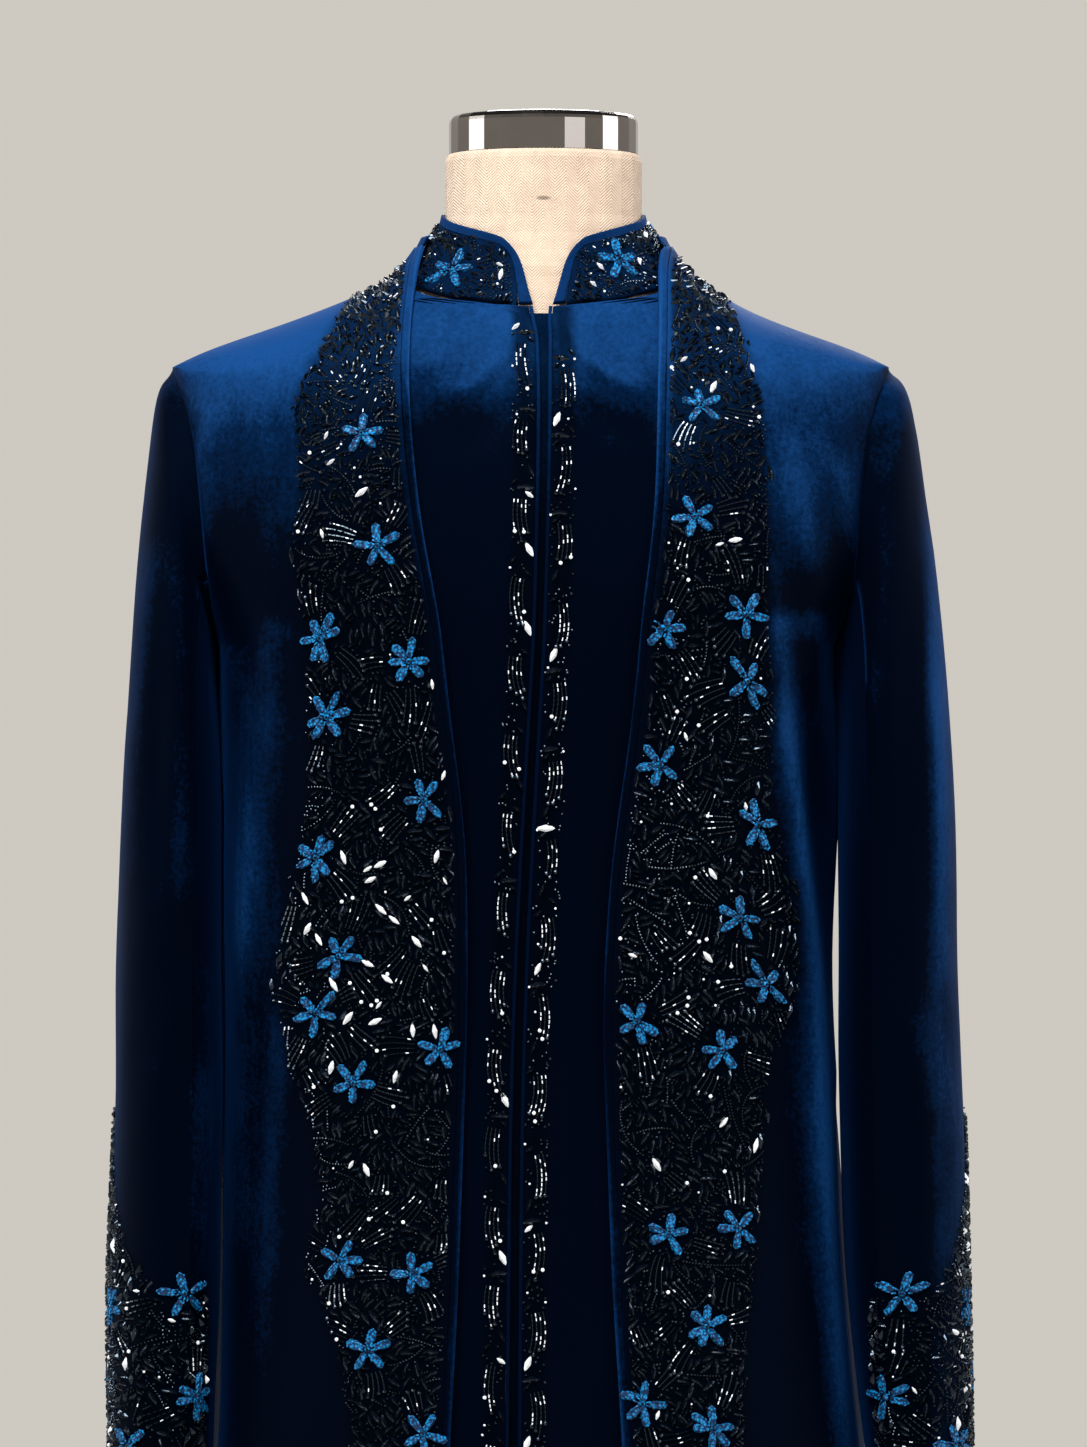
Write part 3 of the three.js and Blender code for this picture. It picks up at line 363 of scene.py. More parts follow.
SLEEVE_CREASES = {
    1: [
        ([(0.236, 1.33), (0.2415, 1.246), (0.2446, 1.171), (0.2458, 1.09), (0.249, 1.028)], 0.0042, 0.006),
        ([(0.214, 1.37), (0.209, 1.29), (0.206, 1.21), (0.205, 1.12)], 0.0034, 0.009),
        ([(0.226, 1.30), (0.224, 1.21), (0.224, 1.12)], -0.0026, 0.008),
        ([(0.222, 1.04), (0.228, 0.99), (0.240, 0.955)], 0.0026, 0.010),
        ([(0.216, 1.07), (0.219, 0.97), (0.222, 0.88)], -0.0022, 0.009),
    ],
    -1: [
        ([(-0.238, 1.36), (-0.244, 1.28), (-0.250, 1.19), (-0.254, 1.09)], 0.0032, 0.008),
        ([(-0.222, 1.35), (-0.224, 1.27), (-0.224, 1.18), (-0.222, 1.07)], 0.0034, 0.009),
        ([(-0.234, 1.28), (-0.237, 1.19), (-0.238, 1.10)], -0.0026, 0.008),
        ([(-0.232, 1.03), (-0.238, 0.98), (-0.250, 0.95)], 0.0024, 0.010),
        ([(-0.210, 1.06), (-0.209, 0.96), (-0.211, 0.84)], 0.0036, 0.008),
    ],
}


# Where the coat swells out against a sleeve: side, how far behind the middle, lowest and highest z, how much
SIDE_SWELLS = [
    (-1, 0.048, 0.60, 1.25, 0.0060),
    (-1, 0.020, 1.14, 1.285, 0.0048),
    (1, 0.048, 1.11, 1.25, 0.0055),
    (1, 0.020, 1.13, 1.264, 0.0034),
    (1, 0.010, 0.95, 1.16, 0.0026),
    (1, 0.048, 0.60, 1.00, 0.0060),
]
SWELL_SPREAD = 0.024
SWELL_FADE = 0.036
SWELL_FROM, SWELL_WHOLE = 0.15, 0.18


def swell(point):
    total = 0.0
    for side, behind, low, high, depth in SIDE_SWELLS:
        if side * point.x > 0:
            along = gentle(point.z, low, low + SWELL_FADE) * (1 - gentle(point.z, high - SWELL_FADE, high))
            total += depth * along * bell(point.y - behind, SWELL_SPREAD)
    return total * gentle(abs(point.x), SWELL_FROM, SWELL_WHOLE)


def swollen(share):
    """How much of a crease is there at a share of its length: none at its ends, all of it in the middle."""
    return math.sin(math.pi * share) ** 0.6


def crease_down(path, x, z):
    """How far a place is off the line of a crease that runs down, and how much of the crease is there."""
    top, bottom = path[0][1], path[-1][1]
    if not top > z > bottom:
        return 0.0, 0.0
    k = 0
    while k < len(path) - 2 and z < path[k + 1][1]:
        k += 1
    (x0, z0), (x1, z1) = path[k], path[k + 1]
    stand = x0 + (x1 - x0) * ((z - z0) / (z1 - z0))
    return x - stand, swollen((top - z) / (top - bottom))


def crease_across(path, x, z):
    """The same for a crease that runs across."""
    ends = sorted(path)
    left, right = ends[0][0], ends[-1][0]
    if not left < x < right:
        return 0.0, 0.0
    k = 0
    while k < len(ends) - 2 and x > ends[k + 1][0]:
        k += 1
    (x0, z0), (x1, z1) = ends[k], ends[k + 1]
    level = z0 + (z1 - z0) * (x - x0) / (x1 - x0)
    return z - level, swollen((x - left) / (right - left))


def crease_height(creases, x, z):
    total = 0.0
    for path, height, width in creases:
        runs_across = abs(path[-1][0] - path[0][0]) > abs(path[-1][1] - path[0][1])
        off, amount = (crease_across if runs_across else crease_down)(path, x, z)
        if amount > 0:
            total += height * amount * bell(off, width)
    return total


BODY_HALF_WIDTH = 0.2
BODY_HALF_DEPTH = 0.12
BODY_RIPPLE = 0.0016
SLEEVE_RIPPLE = 0.0014
SLEEVE_MIDDLE = (0.232, -0.012)


def body_shift(point):
    """How the creases move the coats' cloth at a place. Every layer moves alike, so none cuts another."""
    out = Vector((point.x / BODY_HALF_WIDTH ** 2, point.y / BODY_HALF_DEPTH ** 2, 0)).normalized()
    facing = min(1.0, abs(out.y) * 2.2)
    creases = FRONT_CREASES if point.y < 0 else BACK_CREASES
    height = crease_height(creases, point.x, point.z) * facing
    ripple = noise.noise(Vector((point.x * 16, point.y * 16, point.z * 9)))
    height += BODY_RIPPLE * ripple * ramped((1.46 - point.z) / 0.05)
    aside = Vector((math.copysign(1, point.x), 0, 0))
    return out * height + aside * swell(point), height


def sleeve_shift(side):
    across, behind = SLEEVE_MIDDLE

    def shift(point):
        out = (Vector((point.x, point.y, point.z)) - Vector((side * across, behind, point.z))).normalized()
        height = crease_height(SLEEVE_CREASES[side], point.x, point.z) * min(1.0, abs(out.y) * 1.6)
        ripple = noise.noise(Vector((point.x * 20 + 9, point.y * 20, point.z * 10)))
        seat = ramped((1.40 - point.z) / 0.08) if abs(point.x) < across else 1.0
        height = (height + SLEEVE_RIPPLE * ripple) * seat
        return out * height, height

    return shift


# Where the beadwork lies, in millimetres, by height

FRONT_EDGES = [
    (1497, -75, 74), (1486, -78, 72), (1410, -82.5, 70), (1336, -76.5, 68), (1260, -63, 59.5),
    (1202, -57, 55), (1153, -49.5, 46.5), (1110, -46, 41), (1027, -46.5, 36.3), (940, -49, 39),
    (854, -52, 42), (759, -57, 48), (600, -62, 54), (412, -66, 58),
]
FIELD_BORDERS = [
    (1497, -100, 96), (1455, -125, 118), (1400, -153, 134), (1335, -150, 139), (1301, -155, 137),
    (1264, -147, 137), (1214, -144, 142), (1153, -144, 139), (1091, -158, 158), (1040, -167, 159),
    (993, -156, 139), (956, -144, 137), (907, -137, 133), (870, -147, 130), (826, -128, 124),
    (770, -118, 122), (640, -122, 120), (520, -138, 132), (412, -146, 140),
]
OPENING_LINE = [(1462, -1.5), (1440, 0), (1400, 0.5), (1275, -2), (1001, -16), (759, -18.5), (412, -20)]
# How far each strip's middle is from the opening's line
OPENING_STRIP = 12
FRONT_FLOWERS = {
    -1: [
        (-111, 1377), (-101, 1308), (-136, 1252), (-82, 1238), (-132, 1204), (-73, 1154), (-139, 1118),
        (-125, 1058), (-139, 1023), (-63, 1001), (-116, 980), (-124, 872), (-80, 864), (-107, 818),
        (-73, 768), (-112, 700), (-84, 640), (-124, 575), (-90, 510), (-128, 462),
    ],
    1: [
        (96, 1394), (92, 1326), (73, 1258), (123, 1267), (124, 1226), (71, 1175), (131, 1138),
        (120, 1081), (136, 1040), (57, 1018), (109, 1000), (76, 888), (119, 891), (99, 832),
        (60, 786), (103, 771), (72, 706), (108, 655), (76, 590), (118, 530), (84, 470),
    ],
}
# Flowers round each cuff and the collar: degrees round from the outer line or the front, and height
CUFF_FLOWERS = [(104, 850), (44, 840), (114, 786), (-48, 868), (-100, 812), (2, 792), (-30, 760), (70, 756)]
COLLAR_FLOWERS = [(-46, 1480), (39, 1486), (-100, 1500), (98, 1500), (-150, 1502), (152, 1502)]
CUFF_RADIUS = 0.045
CUFF_MIDDLE = (0.235, -0.02)
CUFF_PEAK = 0.964
CUFF_DROP = 0.117
CUFF_LOWEST = 0.738
CUFF_TURN = math.radians(128)
NECK_RADIUS = 0.073


def column_of(side):
    return 1 if side < 0 else 2


def side_name(side):
    return "right" if side < 0 else "left"


def read(table, z, column=1):
    """A value from a table at a height, on straight lines between its rows."""
    if z >= table[0][0]:
        return table[0][column]
    for above, below in zip(table, table[1:]):
        if z >= below[0]:
            share = (above[0] - z) / (above[0] - below[0])
            return above[column] + (below[column] - above[column]) * share
    return table[-1][column]


# How much of the cloth at a place lies under beads, for each kind of piece: the velvet there gets painted
# shade

def beaded_front(side):
    column = column_of(side)

    def amount(point):
        x, z = side * point.x / MM, point.z / MM
        from_edge = x - abs(read(FRONT_EDGES, z, column))
        to_border = abs(read(FIELD_BORDERS, z, column)) - x
        return gentle(from_edge, 4, 10) * gentle(to_border, -4, 5) if point.y < 0 else 0.0

    return amount


def beaded_opening(side):
    def amount(point):
        off = abs(point.x / MM - read(OPENING_LINE, point.z / MM) - side * OPENING_STRIP)
        return 1 - gentle(off, 4, 9) if point.y < 0 else 0.0

    return amount


def cuff_peak(turn):
    """The top of the beaded cuff, highest at the sleeve's outer line, a turn of 0."""
    return CUFF_PEAK - CUFF_DROP * min(1.0, abs(turn) / 1.6)


def beaded_cuff(side):
    across, behind = CUFF_MIDDLE

    def amount(point):
        turn = math.atan2(-point.y + behind, side * point.x - across)
        back = gentle(abs(turn), 2.1, 2.35)
        return gentle(cuff_peak(turn) - point.z, -0.006, 0.01) * (1 - back)

    return amount


# The collar gets painted shade all over under its beads, and the underlap all over in the opening
PAINTED_SHADE_BY_PIECE = {"band_collar": lambda point: 1.0, "placket_underlap": lambda point: 1.0}
for side in (-1, 1):
    name = side_name(side)
    PAINTED_SHADE_BY_PIECE["over_front_" + name] = beaded_front(side)
    PAINTED_SHADE_BY_PIECE["inner_front_" + name] = beaded_opening(side)
    PAINTED_SHADE_BY_PIECE["sleeve_top_" + name] = PAINTED_SHADE_BY_PIECE["sleeve_under_" + name] = beaded_cuff(side)


# Cloth

RIM_ANGLE = math.radians(50)
# The crease height at which a crest gets the whole painted highlight
RIDGE_HEIGHT = 0.0060
SHELL_LEVELS = 2


def cloth(node, shift):
    """A finer shell on a cloth solid's own form: quads smoothed, rims kept sharp, creases put in."""
    shape = bmesh.new()
    shape.from_mesh(nodes[node].data)
    bmesh.ops.remove_doubles(shape, verts=shape.verts, dist=0.02 * MM)
    bmesh.ops.join_triangles(
        shape,
        faces=shape.faces,
        angle_face_threshold=math.radians(40),
        angle_shape_threshold=math.radians(80),
    )
    crease = shape.edges.layers.float.new("crease_edge")
    for edge in shape.edges:
        if len(edge.link_faces) == 2 and edge.calc_face_angle(0) > RIM_ANGLE:
            edge[crease] = 1.0
    piece = new_piece("cloth_" + node, shape)
    smooth = piece.modifiers.new("smooth", "SUBSURF")
    smooth.levels = smooth.render_levels = SHELL_LEVELS
    piece.data = baked(piece)
    piece.modifiers.clear()
    if node.startswith("over_"):
        eased(piece)
    # Each vertex carries painted light, a highlight on its crease's crest with its piece's painted light and
    # shade, and how much painted shade it gets under beads
    light_marks, beads = [], []
    for vertex in piece.data.vertices:
        moved, height = shift(vertex.co)
        light_marks.append(max(-1.0, min(1.0, height / RIDGE_HEIGHT)) + brushed(node, vertex.co))
        beads.append(PAINTED_SHADE_BY_PIECE.get(node, lambda point: 0.0)(vertex.co))
        vertex.co += moved
    carried(piece, "painted_light", light_marks)
    carried(piece, "bead_shade", beads)
    piece.data.polygons.foreach_set("use_smooth", [True] * len(piece.data.polygons))
    piece.data.set_sharp_from_angle(angle=RIM_ANGLE)
    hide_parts(node)
    return piece


# The armhole's foot on the coat: the band that is smoothed, the band whose dent is filled, and its ends in x
SMOOTHED = (1.222, 1.285)
SMOOTHINGS = 10
FILLED = (1.20, 1.30)
FILL_INNER = (0.09, 0.11)
FILL_OUTER = (0.165, 0.18)
FILL_REACHES = range(5, 45, 5)


def off_rims(corner):
    """Whether no rim or open edge meets at a corner."""
    edges = corner.link_edges
    return all(len(edge.link_faces) == 2 and edge.calc_face_angle(0) < RIM_ANGLE for edge in edges)


def eased(piece):
    """Smooths the coat at each armhole's foot, where its rows of quads fan out, and fills the dent there."""
    shape = bmesh.new()
    shape.from_mesh(piece.data)
    free = [
        corner
        for corner in shape.verts
        if SMOOTHED[0] < corner.co.z < SMOOTHED[1] and abs(corner.co.x) > FILL_INNER[1] and off_rims(corner)
    ]
    axes = {"use_axis_" + axis: True for axis in "xyz"}
    for _ in range(SMOOTHINGS):
        bmesh.ops.smooth_vert(shape, verts=free, factor=0.5, **axes)
    tree = BVHTree.FromBMesh(shape)

    def stands_out(x, z, side):
        point = tree.ray_cast(Vector((x, side, z)), Vector((0, -side, 0)))[0]
        return None if point is None else side * point.y

    fills = []
    for corner in shape.verts:
        x, y, z = corner.co
        share = gentle(abs(x), *FILL_INNER) * (1 - gentle(abs(x), *FILL_OUTER))
        if share == 0 or not FILLED[0] < z < FILLED[1]:
            continue
        side = math.copysign(1, y)
        here = stands_out(x, z, side)
        chords = []
        for reach in FILL_REACHES:
            above = stands_out(x, z + reach * MM, side)
            below = stands_out(x, z - reach * MM, side)
            if None not in (here, above, below):
                chords.append((above + below) / 2 - here)
        if chords:
            fills.append((corner, side * share * max(0.0, *chords)))
    for corner, fill in fills:
        corner.co.y += fill
    shape.to_mesh(piece.data)
    shape.free()


# How much paler (painted light) or darker (painted shade) each piece is than its creases make it, as shares
# of a whole crest highlight
EDGE_HIGHLIGHT = 0.9
SLEEVE_OUTER_HIGHLIGHT = 0.9
SLEEVE_HEAD_SHADE = {-1: 0.75, 1: 0.35}
COAT_LIGHT = 0.18
CHEST_LIGHT = 0.2
COAT_SIDE_LIGHT = {-1: 0.25, 1: 0.65}
COAT_FOOT_LIGHT = 0.16
SKIRT_SHADE = 0.5
INNER_SHADE = 0.5
# The lit band at the coat's sides: its start, how far out that moves per metre below its top, its softness
BAND_START = 0.12
BAND_SLOPE = 0.13
BAND_TOP = 1.08
BAND_SOFTNESS = 0.03


def edge_highlight(point):
    """Painted highlight along the front bands' free edges."""
    off = abs(point.x / MM - read(FRONT_EDGES, point.z / MM, column_of(point.x)))
    return EDGE_HIGHLIGHT * (1 - gentle(off, 0.4, 2.2))


def sleeve_light_and_shade(point):
    """Painted highlight on the left sleeve's outer side, and painted shade on either sleeve's head."""
    head = SLEEVE_HEAD_SHADE[1 if point.x > 0 else -1]
    return SLEEVE_OUTER_HIGHLIGHT * gentle(point.x, 0.228, 0.245) - head * gentle(point.z, 1.28, 1.36)


def coat_light_and_shade(point):
    """Painted light over the whole coat, more on the chest, at the sides down to the skirt and at the
    armhole's foot, and painted shade on the skirt.
    """
    across, z = abs(point.x), point.z
    band = BAND_START + BAND_SLOPE * max(0.0, BAND_TOP - z)
    beside = gentle(across, band, band + BAND_SOFTNESS)
    sides = COAT_SIDE_LIGHT[1 if point.x > 0 else -1] * beside * (1 - gentle(z, 1.32, 1.40))
    below = SKIRT_SHADE * (1 - 0.3 * beside) * (1 - gentle(z, 1.00, 1.14))
    foot = COAT_FOOT_LIGHT * beside * gentle(z, 1.16, 1.20) * (1 - gentle(z, 1.25, 1.31))
    return COAT_LIGHT + CHEST_LIGHT * gentle(z, 1.28, 1.39) + sides + foot - below


def inner_painted_shade(point):
    """Painted shade below the chest, from a line that wanders a little."""
    wander = 0.022 * noise.noise(Vector((point.x * 18, 3, point.z * 14)))
    level = point.z + 0.4 * (abs(point.x) - 0.045) + wander
    return -INNER_SHADE * (1 - gentle(level, 1.35, 1.41))


PAINTED_LIGHT_BY_PIECE = {"over_edge": edge_highlight, "over": coat_light_and_shade, "sleeve": sleeve_light_and_shade, "inner": inner_painted_shade}


# The painted light and shade of a piece, found by the start of its name
def brushed(node, point):
    for start, amount in PAINTED_LIGHT_BY_PIECE.items():
        if node.startswith(start):
            return amount(point)
    return 0.0


def carried(piece, name, values):
    """Numbers that the piece carries at its vertices for its finish."""
    attribute = piece.data.attributes.new(name, "FLOAT", "POINT")
    attribute.data.foreach_set("value", values)


def surface_of(names):
    """The surface of some cloth pieces together, to look for places on."""
    corners, faces = [], []
    for name in names:
        mesh = pieces[name].data
        start = len(corners)
        corners += [vertex.co.copy() for vertex in mesh.vertices]
        faces += [[start + index for index in face.vertices] for face in mesh.polygons]
    return BVHTree.FromPolygons(corners, faces)


def close_seam(name, others, reach, lowest):
    """Draws the piece's edge up to the pieces that it is sewn to, so that nothing shows between them."""
    tree = surface_of(others)
    for vertex in pieces[name].data.vertices:
        nearest = tree.find_nearest(vertex.co, reach)[0]
        if nearest is not None and vertex.co.z > lowest:
            vertex.co = nearest


def baked(piece):
    """The piece's mesh with its modifiers applied."""
    view = bpy.context.evaluated_depsgraph_get()
    view.update()
    return bpy.data.meshes.new_from_object(piece.evaluated_get(view))


# Each cloth piece: its slot, what it rests on, and the cut of what shows: width, length and flat area
CLOTH = {
    "over_front_right": ("velvet", "inner_front_right", 0.24, 1.10, 0.222),
    "over_front_left": ("velvet", "inner_front_left", 0.24, 1.10, 0.222),
    "over_back": ("velvet", "inner_back", 0.62, 1.10, 0.580),
    "over_edge_right": ("velvet", "over_front_right", 0.012, 1.09, 0.0082),
    "over_edge_left": ("velvet", "over_front_left", 0.012, 1.09, 0.0081),
    "over_neck_band": ("trim", "over_back", 0.010, 0.36, 0.0024),
    "inner_front_right": ("velvet", "form_torso", 0.30, 1.09, 0.266),
    "inner_front_left": ("velvet", "form_torso", 0.30, 1.09, 0.280),
    "inner_back": ("velvet", "form_torso", 0.60, 1.10, 0.565),
    "placket_piping_right": ("trim", "inner_front_right", 0.010, 1.05, 0.0047),
    "placket_piping_left": ("trim", "inner_front_left", 0.010, 1.05, 0.0047),
    "placket_underlap": ("velvet", "inner_front_left", 0.028, 1.04, 0.024),
    "band_collar": ("velvet", "inner_back", 0.45, 0.045, 0.0170),
    "collar_binding": ("trim", "band_collar", 0.52, 0.010, 0.0031),
    "sleeve_top_right": ("velvet", "over_back", 0.26, 0.70, 0.142),
    "sleeve_under_right": ("velvet", "over_back", 0.14, 0.56, 0.072),
    "sleeve_top_left": ("velvet", "over_back", 0.26, 0.70, 0.146),
    "sleeve_under_left": ("velvet", "over_back", 0.14, 0.56, 0.072),
}
# Each seam that is drawn shut: the piece, what it is sewn to, how far it is drawn, and its lowest height
SEAMS = [
    ("sleeve_top_right", ["over_front_right", "over_back"], 2.2 * MM, 1.262),
    ("sleeve_top_left", ["over_front_left", "over_back"], 2.2 * MM, 1.262),
    ("band_collar", ["inner_front_right", "inner_front_left", "inner_back"], 1.4 * MM, 1.40),
]

sleeve_shifts = {side_name(side): sleeve_shift(side) for side in (-1, 1)}
pieces = {}
for node, (slot, support, width, length, area) in CLOTH.items():
    shift = sleeve_shifts[node.split("_")[-1]] if node.startswith("sleeve") else body_shift
    piece = finished(cloth(node, shift), slot)
    pieces[node] = piece

for seam in SEAMS:
    close_seam(*seam)
# The underlap's top is drawn up to the collar's seam
for vertex in pieces["placket_underlap"].data.vertices:
    vertex.co.z += 4 * MM * gentle(vertex.co.z, 1.43, 1.448)


# Beadwork

def onward(u, v, reach, angle):
    """The place at a reach and an angle from another."""
    return u + reach * math.cos(angle), v + reach * math.sin(angle)


class Ground:
    """Cloth that takes beadwork. A place on it is (u, v) in metres, found by looking at it from outside."""

    def __init__(self, names, look):
        self.tree = surface_of(names)
        self.look = look

    def hit(self, u, v):
        start, along = self.look(u, v)
        point, normal, _, _ = self.tree.ray_cast(start, along)
        if point is not None and normal.dot(along) > 0:
            normal = -normal
        return point, normal

    def covers(self, u, v, margin):
        steps = ((margin, 0), (-margin, 0), (0, margin), (0, -margin))
        return all(self.hit(u + du, v + dv)[0] is not None for du, dv in steps)

    def seat(self, u, v, angle, size, lift=0.0):
        """The matrix that sets a shape on the cloth: turned to an angle, scaled to a size, lifted off it."""
        point, normal = self.hit(u, v)
        ahead, _ = self.hit(*onward(u, v, 2 * MM, angle))
        if point is None or ahead is None:
            return None
        along = ahead - point
        along -= normal * along.dot(normal)
        if along.length < 1e-6 or (ahead - point).length > 8 * MM:
            return None
        along.normalize()
        axes = (along * size[0], normal.cross(along) * size[1], normal * size[2])
        seat = Matrix(axes).transposed().to_4x4()
        seat.translation = point + normal * lift
        return seat


def from_front(u, v):
    return Vector((u, -1, v)), Vector((0, 1, 0))


# The fronts are looked at from somewhat above, so that their shoulders are seen too
SLANT = 0.7
CHEST = -0.11


def from_above(u, v):
    return Vector((u, CHEST - 1, v + SLANT)), Vector((0, 1, -SLANT)).normalized()


def seen_from_above(ground, x, z):
    """The place, in that look, of a spot given by its x and height."""
    point = ground.tree.ray_cast(*from_front(x, z))[0]
    return x, z + SLANT * (point.y - CHEST)


def round_neck(u, v):
    turn = u / NECK_RADIUS
    out = Vector((math.sin(turn), -math.cos(turn), 0))
    return out * 0.3 + Vector((0, 0, v)), -out


def round_cuff(side):
    def look(u, v):
        turn = u / CUFF_RADIUS
        out = Vector((side * math.cos(turn), -math.sin(turn), 0))
        return Vector((side * CUFF_MIDDLE[0], CUFF_MIDDLE[1], v)) + out * 0.09, -out

    return look


def gem(table, waist=lambda x: 1.0):
    """A flat-backed stone one unit across, with a smaller table on top; waist is its width at an x."""
    shape = bmesh.new()
    bmesh.ops.create_cone(shape, cap_ends=True, segments=8, radius1=0.5, radius2=table / 2, depth=1.0)
    bmesh.ops.translate(shape, verts=shape.verts, vec=(0, 0, 0.5))
    for corner in shape.verts:
        corner.co.y *= waist(corner.co.x)
    back = [face for face in shape.faces if face.normal.z < -0.9]
    bmesh.ops.delete(shape, geom=back, context="FACES_ONLY")
    return shape


def tube_bead():
    shape = bmesh.new()
    bmesh.ops.create_cone(shape, cap_ends=True, segments=5, radius1=0.5, radius2=0.5, depth=1)
    bmesh.ops.rotate(shape, verts=shape.verts, matrix=Matrix.Rotation(math.pi / 2, 3, "Y"))
    return shape


def seed_bead():
    shape = bmesh.new()
    bmesh.ops.create_icosphere(shape, subdivisions=1, radius=0.5)
    return shape


SHAPES = {
    "leaf": gem(0.22, lambda x: 1 - 0.75 * abs(x)),
    "petal": gem(0.7, lambda x: 0.95 + 0.7 * x),
    "round": gem(0.5),
    "tube": tube_bead(),
    "seed": seed_bead(),
}
# Each shape as the array of its corners and the list of its faces
PATTERNS = {}
for name, shape in SHAPES.items():
    outlines = [[corner.index for corner in face.verts] for face in shape.faces]
    PATTERNS[name] = (np.array([corner.co[:] for corner in shape.verts]), outlines)
    shape.free()


def strewn(name, seats, slot):
    """One joined mesh of small shapes, each given as its pattern's name and its matrix."""
    corners, faces, count = [], [], 0
    for pattern, seat in seats:
        points, outlines = PATTERNS[pattern]
        matrix = np.array(seat)
        corners.append(points @ matrix[:3, :3].T + matrix[:3, 3])
        faces += [[count + index for index in outline] for outline in outlines]
        count += len(points)
    mesh = bpy.data.meshes.new(name)
    mesh.from_pydata(np.concatenate(corners).tolist(), [], faces)
    mesh.update()
    finished(in_scene(name, mesh), slot)


# Sizes of beads in millimetres: along the string, across it, and how high they stand
TUBE_STEP = 2.9
DARK_TUBE = (2.4, 1.05, 1.05)
WHITE_TUBE = (2.0, 0.75, 0.75)
STRING_END = (2.7, 2.7, 2.4)
STEM_STEP = 1.9
LEAF_EVERY = 6.2
LEAF_HEIGHT = 2.3
# How far from a flower's middle its strings start
STRINGS_START = 15.5 * MM


